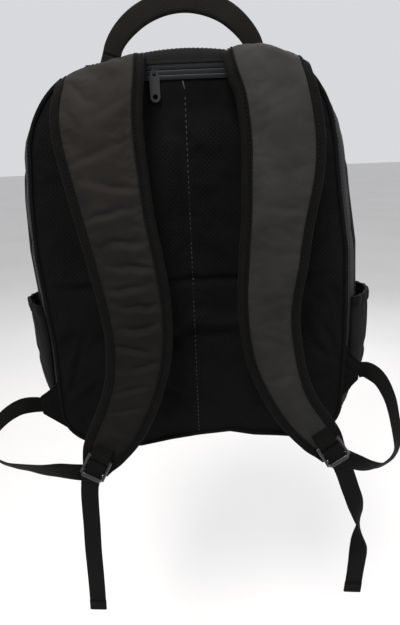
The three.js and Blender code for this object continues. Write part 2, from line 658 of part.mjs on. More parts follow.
function addWebbing(name, side) {
  const place = lockPlace(name);
  add(`ladder_lock_${name}`, lockGeometry(), MATERIALS.plastic).applyMatrix4(place);
  add(`strap_lock_tab_${name}`, tabGeometry(), MATERIALS.webbing).applyMatrix4(place);
  const loopNormals = WEB_LOOP_NORMALS[name].map((n) => vector(...n).normalize());
  const loop = ribbon(WEB_LOOPS[name], loopNormals, WEB_WIDE, WEB_THICK, 3);
  add(`webbing_loop_${name}`, loop, MATERIALS.webbing);
  const tail = WEB_TAILS[name];
  const tailNormals = tail.map((_, i) => {
    const turned = THREE.MathUtils.smoothstep(i / (tail.length - 1), 0.25, 0.85);
    const angle = 2 * Math.PI * TAIL_TURNS[name] * turned;
    return vector(Math.sin(angle), -Math.cos(angle), 0);
  });
  add(`webbing_tail_${name}`, ribbon(tail, tailNormals, WEB_WIDE, WEB_THICK, 3), MATERIALS.webbing);
  const end = vector(...tail[tail.length - 1]);
  const along = end.clone().sub(vector(...tail[tail.length - 2])).normalize();
  const hem = [GAP, HEM.long / 2, HEM.long].map((s) => end.clone().addScaledVector(along, s).toArray());
  const hemNormals = hem.map(() => tailNormals[tail.length - 1].clone());
  add(`tail_hem_${name}`, ribbon(hem, hemNormals, WEB_WIDE, HEM.thick, 1), MATERIALS.webbing);
  add(`corner_gusset_${name}`, gussetGeometry(side, GUSSET_Z[name]), MATERIALS.border);
}

function gussetGeometry(side, z) {
  const { x, reach, rootHalf, tipHalf, y0, y1 } = GUSSET;
  const corners = [[x, -rootHalf], [x + reach, -tipHalf], [x + reach, tipHalf], [x, rootHalf]];
  return plate(new THREE.Shape(corners.map(([cx, dz]) => new THREE.Vector2(side * cx, z + dz))), y0, y1);
}

// ---- Haul handle --------------------------------------------------------------------------

function addHandle() {
  const points = HANDLE_LINE.map(([x, z]) => [x, HANDLE_Y, z]);
  const back = points.map(() => vector(0, -1, 0));
  add("haul_handle_band", ribbon(points, back, HANDLE_WIDE, BAND_THICK, 2), MATERIALS.webbing);
  const curve = new THREE.CatmullRomCurve3(points.map((p) => vector(...p)), false, "centripetal");
  const share = Array.from({ length: 11 }, (_, i) => PAD_ENDS + ((1 - 2 * PAD_ENDS) * i) / 10);
  for (const [name, side] of Object.entries({ back: -1, front: 1 })) {
    const y = HANDLE_Y + side * (BAND_THICK / 2 + GAP + PAD_THICK / 2);
    const line = share.map((t) => curve.getPoint(t).setY(y).toArray());
    const pad = ribbon(line, line.map(() => vector(0, -1, 0)), HANDLE_WIDE + 1, PAD_THICK, 2);
    add(`haul_handle_pad_${name}`, pad, MATERIALS.webbing);
  }
}

addBody();
addRearZip();
addMainZip();
addFront();
addSidePockets();
for (const [name, side] of Object.entries(SIDES)) {
  addStrap(name, side);
  addWebbing(name, side);
}
addHandle();

const group = new THREE.Group();
group.add(pack);
export default group;
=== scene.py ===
"""The looks of the racket backpack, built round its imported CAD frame.

Blender's places are in metres in the row's frame. Most shapes are first written in the pack's own frame,
in millimetres, and place() takes them across.
"""

import json
import math

import bmesh
import bpy
import numpy as np
from mathutils import Matrix, Vector, noise


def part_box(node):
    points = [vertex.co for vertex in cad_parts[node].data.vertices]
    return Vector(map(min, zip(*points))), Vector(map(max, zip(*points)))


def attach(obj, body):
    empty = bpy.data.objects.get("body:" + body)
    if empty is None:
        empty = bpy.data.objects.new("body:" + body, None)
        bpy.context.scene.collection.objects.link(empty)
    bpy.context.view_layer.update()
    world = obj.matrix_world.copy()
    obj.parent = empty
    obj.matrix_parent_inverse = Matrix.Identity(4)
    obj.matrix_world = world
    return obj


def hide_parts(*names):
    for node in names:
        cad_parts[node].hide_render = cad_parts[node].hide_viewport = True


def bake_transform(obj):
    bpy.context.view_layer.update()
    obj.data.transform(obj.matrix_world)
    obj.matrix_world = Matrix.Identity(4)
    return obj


MM = 0.001

# ---- The frame ------------------------------------------------------------------------------

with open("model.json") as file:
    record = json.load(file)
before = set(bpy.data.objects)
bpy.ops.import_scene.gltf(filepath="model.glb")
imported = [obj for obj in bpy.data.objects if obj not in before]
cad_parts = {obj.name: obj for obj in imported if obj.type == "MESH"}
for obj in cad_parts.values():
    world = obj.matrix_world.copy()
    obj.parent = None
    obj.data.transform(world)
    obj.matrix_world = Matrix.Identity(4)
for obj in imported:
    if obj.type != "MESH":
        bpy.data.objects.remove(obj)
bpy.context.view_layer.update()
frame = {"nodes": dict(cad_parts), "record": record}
# The pack's own frame has its back face at y = 0 and its base at z = 0.
BASE_REST = next(m for m in frame["record"]["mounts"] if m["name"] == "base_rest")
PACK_ORIGIN = np.array([0.0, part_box("back_mesh_cover")[0].y, BASE_REST["pos_m"][2]])
SIDES = {"left": -1, "right": 1}
BACKWARD = (0, -1, 0)

# Body outline, as in the CAD.
FOOT_HALF_WIDTH = 176
TOP_HALF_WIDTH = 168
SHOULDER_Z = 440
CROWN = 10
BASE_CORNER = 40
TOP_CORNER = 90
BASE_DEPTH = 150
DEPTH_SLOPE = -0.09
SIDE_BULGE = 32
SIDE_BULGE_SLOPE = -0.022
TOP_BULGE = 4
FRONT_TAPER = 8
REAR_ZIP_Z = 429
HINGE_Z = 40

# Shoulder straps, as in the CAD: z, distance from the centre line, y, width and thickness.
STRAP_HANG = {"left": (0.042, 12), "right": (0.04, 26)}
STRAP_ROOT_Z = 440
STRAP_LINE = [
    (440, 82, -1, 86, 5), (441, 82, -7, 87, 6), (437, 82, -18, 88, 8), (424, 83, -26, 90, 11),
    (400, 87, -33, 90, 13), (362, 89.5, -39, 88, 13), (325, 89, -43, 85, 13), (280, 83, -47, 78, 13),
    (235, 76, -50, 72, 13), (190, 72, -52, 67, 13), (150, 73.5, -54, 62, 13), (110, 81, -58, 58, 12),
    (75, 93, -62, 56, 11), (45, 107, -67, 54, 11), (20, 123, -72, 50, 10), (4, 132, -75, 44, 8),
    (-8, 138, -77, 26, 6),
]
STRAP_BORDER = 9.5

# Webbing, as in the CAD, except that the right loop is led a little differently: it starts 9 mm lower,
# where its cloth gusset ends.
WEB_WIDE = 20
WEB_THICK = 1.5
WEB_LOOPS = {
    "left": [
        (-198, -4, 52), (-207, -5, 53), (-222, -14, 55), (-240, -26, 47), (-252, -36, 33),
        (-254, -46, 18), (-244, -54, 8), (-226, -60, 3), (-204, -66, 3), (-180, -73, 4),
        (-157, -80, 8), (-138, -84.5, 9), (-124, -85.5, 9),
    ],
    "right": [
        (198, -4, 89), (207, -5, 90), (221, -13, 82), (231, -25, 63), (235, -36, 42), (236, -47, 22),
        (231, -58, 9), (220, -67, 3), (206, -75, 2), (191, -81, 7), (177, -85, 15), (163, -85.5, 22),
    ],
}
WEB_LOOP_NORMALS = {
    "left": [
        (0, -1, 0), (0, -1, 0.2), (-0.2, -1, 0.6), (-0.5, -1, 0.6), (-0.9, -1, 0.3), (-1, -1, -0.2),
        (-0.6, -1, -0.7), (-0.2, -1, -0.8), (0, -1, -0.6), (0, -1, -0.3), (0, -1, 0), (0, -1, 0.1),
        (0, -1, 0.15),
    ],
    "right": [
        (0, -1, 0), (0.1, -1, 0.1), (0.4, -1, 0.3), (0.6, -1, 0.2), (0.7, -1, 0), (0.7, -1, 0),
        (0.7, -1, -0.3), (0.4, -1, -0.6), (0, -1, -0.7), (0, -1, -0.3), (0, -1, 0), (0, -1, 0.15),
    ],
}
WEB_TAILS = {
    "left": [
        (-121, -94.5, 3), (-123, -94, -9), (-124.5, -93.5, -28), (-126, -93, -58), (-128, -93, -92),
        (-129, -93, -124), (-130, -93, -152), (-131, -93, -174),
    ],
    "right": [
        (160, -94.5, 16), (164, -94, 5), (169, -93.5, -10), (176, -93, -30), (181.5, -93, -50),
        (184.5, -93, -72), (185, -93, -92), (184.5, -93, -114), (183.5, -93, -134), (182.5, -93, -151),
    ],
}
TAIL_TURNS = {"left": 0.0, "right": 0.5}
HEM_LONG = 14
HEM_THICK = [3.0, 3.4, 3.5, 3.5, 3.5, 3.5, 3.5, 3.5, 3.3, 2.2]
GUSSET_TIP_X = 199
GUSSET_TIP_Z = {"left": 52, "right": 89}
GUSSET_SEAM = {"left": (7, 88), "right": (44, 132)}

# Haul handle, as in the CAD.
HANDLE_Y = 8
HANDLE_LINE = [
    (-74, 447), (-71, 455), (-62, 467), (-44, 481), (-22, 490), (0, 493),
    (22, 490), (44, 481), (61, 467), (70, 455), (73, 447),
]
HANDLE_WIDE = 19

# ---- Points and meshes ----------------------------------------------------------------------

SAME_POINT = 2e-6
CURVE_SAMPLES = 1200

def place(points):
    """Points in the pack's own frame, in millimetres, as points in the row's frame, in metres."""
    return np.asarray(points, float) * MM + PACK_ORIGIN


def unit(v):
    v = np.asarray(v, float)
    return v / np.maximum(np.linalg.norm(v, axis=-1, keepdims=True), 1e-12)


def smooth(x, low, high):
    t = np.clip((x - low) / (high - low), 0, 1)
    return t * t * (3 - 2 * t)


def shade_smooth(mesh):
    for polygon in mesh.polygons:
        polygon.use_smooth = True


def new_object(name, verts, faces, uvs=None):
    """A mesh object from points in the pack's frame; uvs are in metres, one for each point."""
    mesh = bpy.data.meshes.new(name)
    verts = place(verts).reshape(-1, 3)
    mesh.from_pydata([tuple(p) for p in verts], [], faces)
    mesh.update()
    obj = bpy.data.objects.new(name, mesh)
    bpy.context.scene.collection.objects.link(obj)
    shade_smooth(mesh)
    if uvs is not None:
        layer = mesh.uv_layers.new(name="weave")
        uvs = np.asarray(uvs, float).reshape(-1, 2)
        loops = np.zeros(len(mesh.loops), int)
        mesh.loops.foreach_get("vertex_index", loops)
        layer.data.foreach_set("uv", uvs[loops].astype(np.float32).ravel())
    return obj


def quads(rows, cols, closed, base=0):
    """The faces between neighbouring rows of points; closed joins the last column to the first."""
    faces = []
    for i in range(rows - 1):
        near, far = base + i * cols, base + (i + 1) * cols
        for j in range(cols if closed else cols - 1):
            k = (j + 1) % cols
            faces.append((near + j, near + k, far + k, far + j))
    return faces


def grid(name, points, uv=None):
    """A quad sheet through points[i][j]."""
    rows, cols = points.shape[:2]
    return new_object(name, points, quads(rows, cols, False), uv)


def tube(name, points, uv=None):
    """A closed solid through the rings points[i], with a fan of quads or triangles over each end."""
    rows, cols = points.shape[:2]
    faces = quads(rows, cols, True)
    for base, flip in ((0, False), ((rows - 1) * cols, True)):
        for j in range(cols // 2):
            a, b = base + j, base + j + 1
            c, d = base + (cols - j - 1) % cols, base + (cols - j) % cols
            face = [a, b, c, d] if flip else [a, d, c, b]
            kept = [v for n, v in enumerate(face) if v not in face[:n]]
            if len(kept) > 2:
                faces.append(tuple(kept))
    return new_object(name, points, faces, uv)


def tidy(obj):
    """Merges doubled points and turns the faces outwards."""
    bm = bmesh.new()
    bm.from_mesh(obj.data)
    bmesh.ops.remove_doubles(bm, verts=bm.verts, dist=SAME_POINT)
    bmesh.ops.recalc_face_normals(bm, faces=bm.faces)
    bm.to_mesh(obj.data)
    bm.free()
    return obj


def modifier(obj, kind, **settings):
    m = obj.modifiers.new(kind.lower(), kind)
    for key, value in settings.items():
        setattr(m, key, value)
    return m


def apply_modifiers(obj):
    bpy.context.view_layer.update()
    graph = bpy.context.evaluated_depsgraph_get()
    made = bpy.data.meshes.new_from_object(obj.evaluated_get(graph))
    obj.modifiers.clear()
    obj.data = made
    made.name = obj.name
    return obj


def join(name, objects):
    """One object from several, in the same place."""
    bpy.context.view_layer.update()
    for o in bpy.context.selected_objects:
        o.select_set(False)
    for o in objects:
        o.select_set(True)
    bpy.context.view_layer.objects.active = objects[0]
    bpy.ops.object.join()
    objects[0].name = name
    return objects[0]


def catmull(points, at):
    """A centripetal Catmull-Rom curve through points, at shares of the way from 0 to 1."""
    points = np.asarray(points, float)
    last = len(points) - 1
    ends = [2 * points[0] - points[1]], [2 * points[-1] - points[-2]]
    padded = np.concatenate([ends[0], points, ends[1]])
    row = np.clip(np.asarray(at, float) * last, 0, last)
    i = np.minimum(row.astype(int), last - 1)
    w = (row - i)[:, None]
    p0, p1, p2, p3 = (padded[i + k] for k in range(4))
    gap = [np.sqrt(np.linalg.norm(q - p, axis=1, keepdims=True)) for p, q in ((p0, p1), (p1, p2), (p2, p3))]
    d0, d1, d2 = (np.maximum(g, 1e-4) for g in gap)
    t1 = ((p1 - p0) / d0 - (p2 - p0) / (d0 + d1) + (p2 - p1) / d1) * d1
    t2 = ((p2 - p1) / d1 - (p3 - p1) / (d1 + d2) + (p3 - p2) / d2) * d1
    c2 = -3 * p1 + 3 * p2 - 2 * t1 - t2
    c3 = 2 * p1 - 2 * p2 + t1 + t2
    return p1 + t1 * w + c2 * w**2 + c3 * w**3


def distances(points):
    """The distance along a line at each of its points."""
    steps = np.linalg.norm(np.diff(points, axis=0), axis=1)
    return np.concatenate([[0], np.cumsum(steps)])


def sampled(at, run, rows):
    """Rows of numbers that lie at the distances run, read at other distances."""
    return np.stack([np.interp(at, run, column) for column in rows.T], axis=1)


def even_shares(points, step):
    """Shares of the way along the curve that are about step apart, and the distance along it at each."""
    dense = np.linspace(0, 1, CURVE_SAMPLES)
    run = distances(catmull(points, dense))
    count = max(4, int(round(run[-1] / step)))
    along = np.linspace(0, run[-1], count + 1)
    return np.interp(along, run, dense), along


def tangents(points):
    return unit(np.gradient(np.asarray(points, float), axis=0))


def ripple(points, size, seed, octaves=3):
    """Smooth noise from -1 to 1 at points in millimetres, with features about size across."""
    points = np.asarray(points)
    shift = Vector((seed * 17.3, seed * 5.1, seed * 9.7))
    values = [noise.fractal(Vector(p) / size + shift, 0.9, 2.1, octaves) for p in points.reshape(-1, 3)]
    return np.reshape(values, points.shape[:-1])


# ---- Materials ------------------------------------------------------------------------------

CLOTH_ROUGHNESS = 0.75
THREAD_HEIGHT = 0.00012
SHEEN_ROUGHNESS = 0.45
COAT_ROUGHNESS = 0.25
WAVE_PERIODS = 3.183  # a wave texture of scale 1 repeats about every 1 / 3.183 units along its axis
PATCH_START = 0.3
BLACK, WHITE = (0, 0, 0), (1, 1, 1)


class Nodes:
    """A short way to build a node material."""

    def __init__(self, name):
        self.material = bpy.data.materials.new(name)
        self.material.use_nodes = True
        self.tree = self.material.node_tree
        self.shader = self.tree.nodes["Principled BSDF"]

    def put(self, socket, value):
        """Links another node's output to a socket, or sets the socket to a number, vector or colour."""
        if isinstance(value, bpy.types.NodeSocket):
            self.tree.links.new(value, socket)
        elif socket.type == "RGBA":
            socket.default_value = (*value, 1)
        else:
            socket.default_value = value

    def add(self, kind, **inputs):
        node = self.tree.nodes.new("ShaderNode" + kind)
        for name, value in inputs.items():
            self.put(node.inputs[name], value)
        return node

    def math(self, operation, a, b):
        node = self.add("Math")
        node.operation = operation
        self.put(node.inputs[0], a)
        self.put(node.inputs[1], b)
        return node.outputs[0]

    def where(self, weave):
        """Coordinates in metres: along the woven piece's own length and width, or in the row's frame."""
        if not weave:
            return self.add("TexCoord").outputs["Object"]
        node = self.add("UVMap")
        node.uv_map = "weave"
        return node.outputs[0]

    def scaled(self, vector, scale, rotation):
        return self.add("Mapping", Vector=vector, Scale=scale, Rotation=rotation).outputs[0]

    def noise(self, vector, scale, detail):
        return self.add("TexNoise", Vector=vector, Scale=scale, Detail=detail).outputs["Fac"]

    def bands(self, vector, axis, period):
        """Smooth bands across an axis, period metres apart."""
        node = self.add("TexWave", Vector=vector, Scale=1 / (period * WAVE_PERIODS))
        node.bands_direction = axis
        return node.outputs["Fac"]

    def ramp(self, factor, *stops):
        """Colours that run from the first stop's to the second's; a stop is a position and a colour."""
        node = self.add("ValToRGB", Fac=factor)
        for element, (position, colour) in zip(node.color_ramp.elements, stops):
            element.position = position
            element.color = (*colour, 1)
        return node.outputs["Color"]

    def patchy(self, patches, colour, dark, light, end=0.7):
        """The colour, from dark to light times itself as the patches' noise rises."""
        return self.ramp(patches, (PATCH_START, times(colour, dark)), (end, times(colour, light)))

    def mix(self, factor, a, b):
        node = self.add("Mix")
        node.data_type = "RGBA"
        for socket, value in ((node.inputs[0], factor), (node.inputs[6], a), (node.inputs[7], b)):
            self.put(socket, value)
        return node.outputs[2]

    def bump(self, height, distance, strength=1.0, **below):
        """A bumped normal; Normal=... puts it on top of another."""
        node = self.add("Bump", Height=height, Distance=distance, Strength=strength, **below)
        return node.outputs["Normal"]

    def finish(self, colour, roughness, sheen=0.0, coat=0.0, metallic=0.0, specular=0.5, **normal):
        values = {
            "Base Color": colour,
            "Roughness": roughness,
            "Metallic": metallic,
            "Specular IOR Level": specular,
            "Sheen Weight": sheen,
            "Sheen Roughness": SHEEN_ROUGHNESS,
            "Coat Weight": coat,
            "Coat Roughness": COAT_ROUGHNESS,
            **normal,
        }
        for name, value in values.items():
            self.put(self.shader.inputs[name], value)
        return self.material


def grey(value, warm=0.0):
    """A linear grey, a little warmer or cooler."""
    return (value * (1 + warm), value, value * (1 - warm))


def times(colour, factor):
    return tuple(c * factor for c in colour)


def woven(name, colour, thread, weave=False, twill=0.0, sheen=0.25, wear=0.35, dust=0.0, dim=1.0):
    """Plain or twill cloth: crossed threads of that pitch in metres, with patches of wear and some dust.

    dim darkens the cloth along a strap's length, below its sunlit top."""
    n = Nodes(name)
    where = n.where(weave)
    turned = n.scaled(where, (1, 1, 1), (0, 0.0 if weave else twill, twill if weave else 0.0))
    warp = n.bands(turned, "X", thread)
    weft = n.bands(turned, "Y" if weave else "Z", thread * 1.15)
    threads = n.math("MULTIPLY", warp, weft)
    flecks = n.noise(where, 900, 2)
    base = n.patchy(n.noise(where, 24, 5), colour, 1 - wear, 1 + wear)
    base = n.mix(n.math("MULTIPLY", threads, 0.55), base, times(colour, 1.9))
    if dust:
        specks = n.ramp(n.noise(where, 1400, 1), (0.68, BLACK), (0.74, WHITE))
        base = n.mix(n.math("MULTIPLY", specks, dust), base, tuple(min(1, c * 6) for c in colour))
    if dim < 1:
        along = n.add("SeparateXYZ", Vector=where).outputs["X"]
        base = n.mix(n.ramp(along, (0.02, WHITE), (0.3, (dim, dim, dim))), BLACK, base)
    rough = n.math("ADD", CLOTH_ROUGHNESS - 0.06, n.math("MULTIPLY", flecks, 0.12))
    fine = n.bump(n.math("ADD", threads, n.math("MULTIPLY", flecks, 0.6)), THREAD_HEIGHT)
    normal = n.bump(n.noise(where, 75, 4), 0.0009, 0.5, Normal=fine)
    return n.finish(base, rough, sheen=sheen, specular=0.1, Normal=normal)


def air_mesh(name, colour, pitch=0.0036, sheen=0.12):
    """Spacer mesh: rows of small round holes in a knitted face."""
    n = Nodes(name)
    where = n.where(False)
    turned = n.scaled(where, (1 / pitch, 0.2 / pitch, 1 / pitch), (0, math.radians(45), 0))
    cells = n.add("TexVoronoi", Vector=turned, Scale=1, Randomness=0.12)
    knit = n.bands(where, "Z", 0.0009)
    land = n.ramp(cells.outputs["Distance"], (0.16, BLACK), (0.34, WHITE))
    base = n.patchy(n.noise(where, 14, 4), colour, 0.7, 1.35)
    base = n.mix(n.math("MULTIPLY", knit, 0.4), base, times(colour, 2.2))
    base = n.mix(land, times(colour, 0.18), base)
    fine = n.bump(n.math("ADD", land, n.math("MULTIPLY", knit, 0.2)), 0.0006, 0.9)
    normal = n.bump(n.noise(where, 55, 3), 0.001, 0.4, Normal=fine)
    return n.finish(base, 0.9, sheen=sheen, specular=0.07, Normal=normal)


def ribbed(name, colour, pitch, weave=True, height=0.00025, across="X", specular=0.05):
    """Webbing or binding: ribs that run across its length, with a fine lengthwise thread."""
    n = Nodes(name)
    where = n.where(weave)
    ribs = n.bands(where, across, pitch)
    lines = n.bands(where, "Y" if across == "X" else "X", pitch * 1.7)
    base = n.patchy(n.noise(where, 60, 4), colour, 0.75, 1.3)
    base = n.mix(n.math("MULTIPLY", ribs, 0.5), base, times(colour, 2.0))
    normal = n.bump(n.math("ADD", ribs, n.math("MULTIPLY", lines, 0.5)), height, 0.9)
    return n.finish(base, 0.72, sheen=0.02, specular=specular, Normal=normal)


def moulded(name, colour, roughness, grain, coat, metallic=0.0, specular=0.5):
    """Moulded plastic, rubber coating or enamel: fine grain, with smoother worn patches."""
    n = Nodes(name)
    where = n.where(False)
    patches = n.noise(where, 120, 4)
    base = n.patchy(patches, colour, 0.8, 1.4, end=0.75)
    rough = n.math("ADD", roughness, n.math("MULTIPLY", patches, grain * 0.3))
    normal = n.bump(n.noise(where, 2600, 2), 0.00004, grain)
    return n.finish(base, rough, coat=coat, metallic=metallic, specular=specular, Normal=normal)


def make_materials():
    warm, cool = grey(0.0095, 0.16), grey(0.0165, 0.04)
    return {
        "strap_left": woven("strap_twill_warm", warm, 0.0011, True, 0.7, sheen=0.03, dust=0.12, dim=0.3),
        "strap_right": woven("strap_twill", cool, 0.0011, True, 0.7, sheen=0.04, dust=0.1, dim=0.6),
        "mesh": air_mesh("air_mesh", grey(0.0021, -0.03), sheen=0.004),
        "binding": ribbed("edge_binding", grey(0.0022, 0.06), 0.0013, specular=0.04),
        "webbing": ribbed("webbing", grey(0.0016, 0.08), 0.0012, height=0.0003),
        "handle": ribbed("handle_webbing", grey(0.0065, 0.08), 0.0012, height=0.0003),
        "shell": woven("shell_canvas", grey(0.0056, 0.03), 0.0009, sheen=0.03, wear=0.3, dust=0.1),
        "pocket": air_mesh("pocket_mesh", grey(0.0038, -0.02), 0.0027, sheen=0.015),
        "lining": woven("lining_cloth", grey(0.075, -0.04), 0.0006, sheen=0.1),
        "foam": moulded("foam_skin", grey(0.05), 0.8, 1.0, 0.0),
        "tape": ribbed("zip_tape", grey(0.004), 0.0008, False, height=0.0001, across="Z"),
        "coated": moulded("coated_tape", (0.0032, 0.0046, 0.0062), 0.42, 0.25, 0.0, specular=0.2),
        "plastic": moulded("black_acetal", grey(0.005), 0.26, 0.25, 0.25),
        "metal": moulded("slider_enamel", grey(0.006), 0.28, 0.2, 0.2, 0.25, 0.4),
        "thread": ribbed("black_thread", grey(0.008), 0.0005, False, specular=0.02),
        "pale_thread": ribbed("pale_thread", grey(0.05, 0.06), 0.0005, False, specular=0.02),
    }


MATERIALS = make_materials()


def paint(obj, material):
    obj.data.materials.clear()
    obj.data.materials.append(MATERIALS[material])


def dress(obj, material, body=None, replaces=()):
    """Gives a piece its material, body and the CAD nodes that it stands for."""
    paint(obj, material)
    if body:
        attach(obj, body)
    if replaces:
        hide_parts(*replaces)
    return obj


# ---- Cloth ----------------------------------------------------------------------------------

CLOTH_FRAMES = 20
CLOTH_MASS = 0.25
CLOTH_PRESSURE = 0.6
CLOTH_BENDING = 0.35


def settle(obj, held, grow, cap, stiffness=12.0):
    """Lets a sheet buckle as cloth that is cut larger than its frame by the share grow.

    held gives 0 to 1 for each point, and no point moves further than cap millimetres."""
    rest = np.array([v.co for v in obj.data.vertices])
    group = obj.vertex_groups.new(name="held")
    for index, weight in enumerate(held):
        if weight > 0:
            group.add([index], float(weight), "REPLACE")
    cloth = modifier(obj, "CLOTH")
    s = cloth.settings
    s.quality = 6
    s.mass = CLOTH_MASS
    s.tension_stiffness = stiffness
    s.compression_stiffness = stiffness
    s.shear_stiffness = stiffness * 0.5
    s.bending_stiffness = CLOTH_BENDING
    s.air_damping = 6
    s.shrink_min = -grow
    s.vertex_group_mass = "held"
    s.use_pressure = True
    s.uniform_pressure_force = CLOTH_PRESSURE
    s.effector_weights.gravity = 0
    cloth.collision_settings.use_collision = False
    cloth.point_cache.frame_start = 1
    cloth.point_cache.frame_end = CLOTH_FRAMES
    scene = bpy.context.scene
    for number in range(1, CLOTH_FRAMES + 1):
        scene.frame_set(number)
    graph = bpy.context.evaluated_depsgraph_get()
    moved = obj.evaluated_get(graph).to_mesh()
    after = np.array([v.co for v in moved.vertices])
    obj.evaluated_get(graph).to_mesh_clear()
    obj.modifiers.clear()
    obj.vertex_groups.clear()
    step = after - rest
    length = np.linalg.norm(step, axis=1, keepdims=True)
    limit = cap * MM
    step *= limit * np.tanh(length / limit) / np.maximum(length, 1e-9)
    obj.data.vertices.foreach_set("co", (rest + step).astype(np.float32).ravel())
    obj.data.update()
    scene.frame_set(1)


# ---- Camera, light and floor ----------------------------------------------------------------

CAMERA_PLACE = (0.022, -0.551, -0.1335)
CAMERA_YAW = 1.6
CAMERA_PITCH = 18.5
CAMERA_ROLL = -2.2
FOCAL_PIXELS = 480
IMAGE_HEIGHT = 625
SENSOR = 36
CLIP_START = 0.02
FLOOR_Z = -1.15
FLOOR_HALF = 30
FLOOR_DARK, FLOOR_LIGHT = (0.66, 0.65, 0.64), (0.7, 0.69, 0.68)
LIGHTS = {
    # place, size, power and colour
    "key": ((-0.4, -1.3, 1.6), 0.7, 56, (1, 0.97, 0.93)),
    "fill": ((1.5, -1.2, 0.4), 1.2, 14, (0.95, 0.95, 1)),
    "back": ((0.4, 2.0, 0.9), 1.6, 24, WHITE),
    "top": ((0, 0.2, 1.6), 1.4, 16, WHITE),
}
LIGHT_AIM = (0, 0.05, -0.25)
SKY_COLOUR = (0.86, 0.87, 0.9)
SKY_STRENGTH = 0.8


def make_camera():
    yaw, pitch, roll = (math.radians(a) for a in (CAMERA_YAW, CAMERA_PITCH, CAMERA_ROLL))
    forward = Vector((-math.sin(yaw) * math.cos(pitch), math.cos(yaw) * math.cos(pitch), -math.sin(pitch)))
    level = Vector((math.cos(yaw), math.sin(yaw), 0))
    above = level.cross(forward)
    right = math.cos(roll) * level + math.sin(roll) * above
    up = right.cross(forward)
    data = bpy.data.cameras.new("camera")
    data.sensor_width = SENSOR
    data.lens = FOCAL_PIXELS / IMAGE_HEIGHT * SENSOR
    data.clip_start = CLIP_START
    camera = bpy.data.objects.new("camera", data)
    turn = Matrix((right, up, -forward)).transposed().to_4x4()
    camera.matrix_world = Matrix.Translation(CAMERA_PLACE) @ turn
    bpy.context.scene.collection.objects.link(camera)
    bpy.context.scene.camera = camera


def area_light(name, place_at, size, power, colour):
    data = bpy.data.lights.new(name, "AREA")
    data.size = size
    data.energy = power
    data.color = colour
    lamp = bpy.data.objects.new(name, data)
    lamp.location = place_at
    aim = Vector(LIGHT_AIM) - Vector(place_at)
    lamp.rotation_euler = aim.to_track_quat("-Z", "Y").to_euler()
    bpy.context.scene.collection.objects.link(lamp)


def make_studio():
    for name, settings in LIGHTS.items():
        area_light(name, *settings)
    scene = bpy.context.scene
    world = bpy.data.worlds.new("studio")
    world.use_nodes = True
    sky = world.node_tree.nodes["Background"].inputs
    sky["Color"].default_value = (*SKY_COLOUR, 1)
    sky["Strength"].default_value = SKY_STRENGTH
    scene.world = world
    scene.view_settings.view_transform = "Standard"
    mesh = bpy.data.meshes.new("floor")
    corners = [(x * FLOOR_HALF, y * FLOOR_HALF, FLOOR_Z) for x, y in ((-1, -1), (1, -1), (1, 1), (-1, 1))]
    mesh.from_pydata(corners, [], [(0, 1, 2, 3)])
    floor = bpy.data.objects.new("floor", mesh)
    scene.collection.objects.link(floor)
    n = Nodes("floor_paint")
    patches = n.noise(n.where(False), 1.5, 3)
    mesh.materials.append(n.finish(n.ramp(patches, (0.3, FLOOR_DARK), (0.7, FLOOR_LIGHT)), 0.9))


# ---- Flat bands, tubes and stitches ---------------------------------------------------------
DASH_SIDES = 6
# A dash is a row of rings: their shares of its length, and their sizes and heights in its radius.
DASH_AT = np.array([0, 0.12, 0.5, 0.88, 1])
DASH_SIZE = np.array([0.25, 0.8, 1, 0.8, 0.25])
DASH_RISE = np.array([-0.6, 0.1, 0.45, 0.1, -0.6])

def signed_power(x, power):
    return np.sign(x) * np.abs(x) ** power


def band(name, centres, across, out, wide, thick, along=None, sides=20, square=0.3):
    """A flat band with soft edges: each ring lies in across and out about its centre."""
    angle = np.linspace(0, 2 * np.pi, sides, endpoint=False) + np.pi / sides
    a = signed_power(np.cos(angle), square)
    b = signed_power(np.sin(angle), 0.55)
    count = len(centres)
    across, out = (np.broadcast_to(np.asarray(v, float), (count, 3)) for v in (across, out))
    wide, thick = (np.broadcast_to(np.asarray(v, float), (count,)) for v in (wide, thick))
    rings = (
        centres[:, None]
        + across[:, None] * (a * wide[:, None] / 2)[..., None]
        + out[:, None] * (b * thick[:, None] / 2)[..., None]
    )
    if along is None:
        along = distances(centres)
    uv = np.stack([
        np.broadcast_to(along[:, None], (count, sides)) * MM,
        a * wide[:, None] / 2 * MM,
    ], axis=-1)
    return tube(name, rings, uv)


def ribbon_frames(points, normals, step=3.0):
    """Centres, across and out along a curve; each normal is blended between its neighbours."""
    shares, along = even_shares(points, step)
    centres = catmull(points, shares)
    t = tangents(centres)
    row = shares * (len(points) - 1)
    k = np.minimum(row.astype(int), len(points) - 2)
    normals = unit(normals)
    n = normals[k] + (normals[k + 1] - normals[k]) * (row - k)[:, None]
    n = unit(n - t * np.sum(n * t, axis=1, keepdims=True))
    return centres, np.cross(t, n), n, along


def round_tube(name, centres, radius, sides=10, flat=1.0):
    """A round tube along centres in the pack's frame; flat squeezes it towards its second axis."""
    centres = np.asarray(centres, float)
    t = tangents(centres)
    seed = np.where(np.abs(t[:, 1:2]) > 0.9, [[1.0, 0, 0]], [[0, 1.0, 0]])
    a = unit(np.cross(t, seed))
    b = np.cross(a, t)
    return band(name, centres, a, b, radius * 2, radius * 2 * flat, sides=sides, square=0.55)


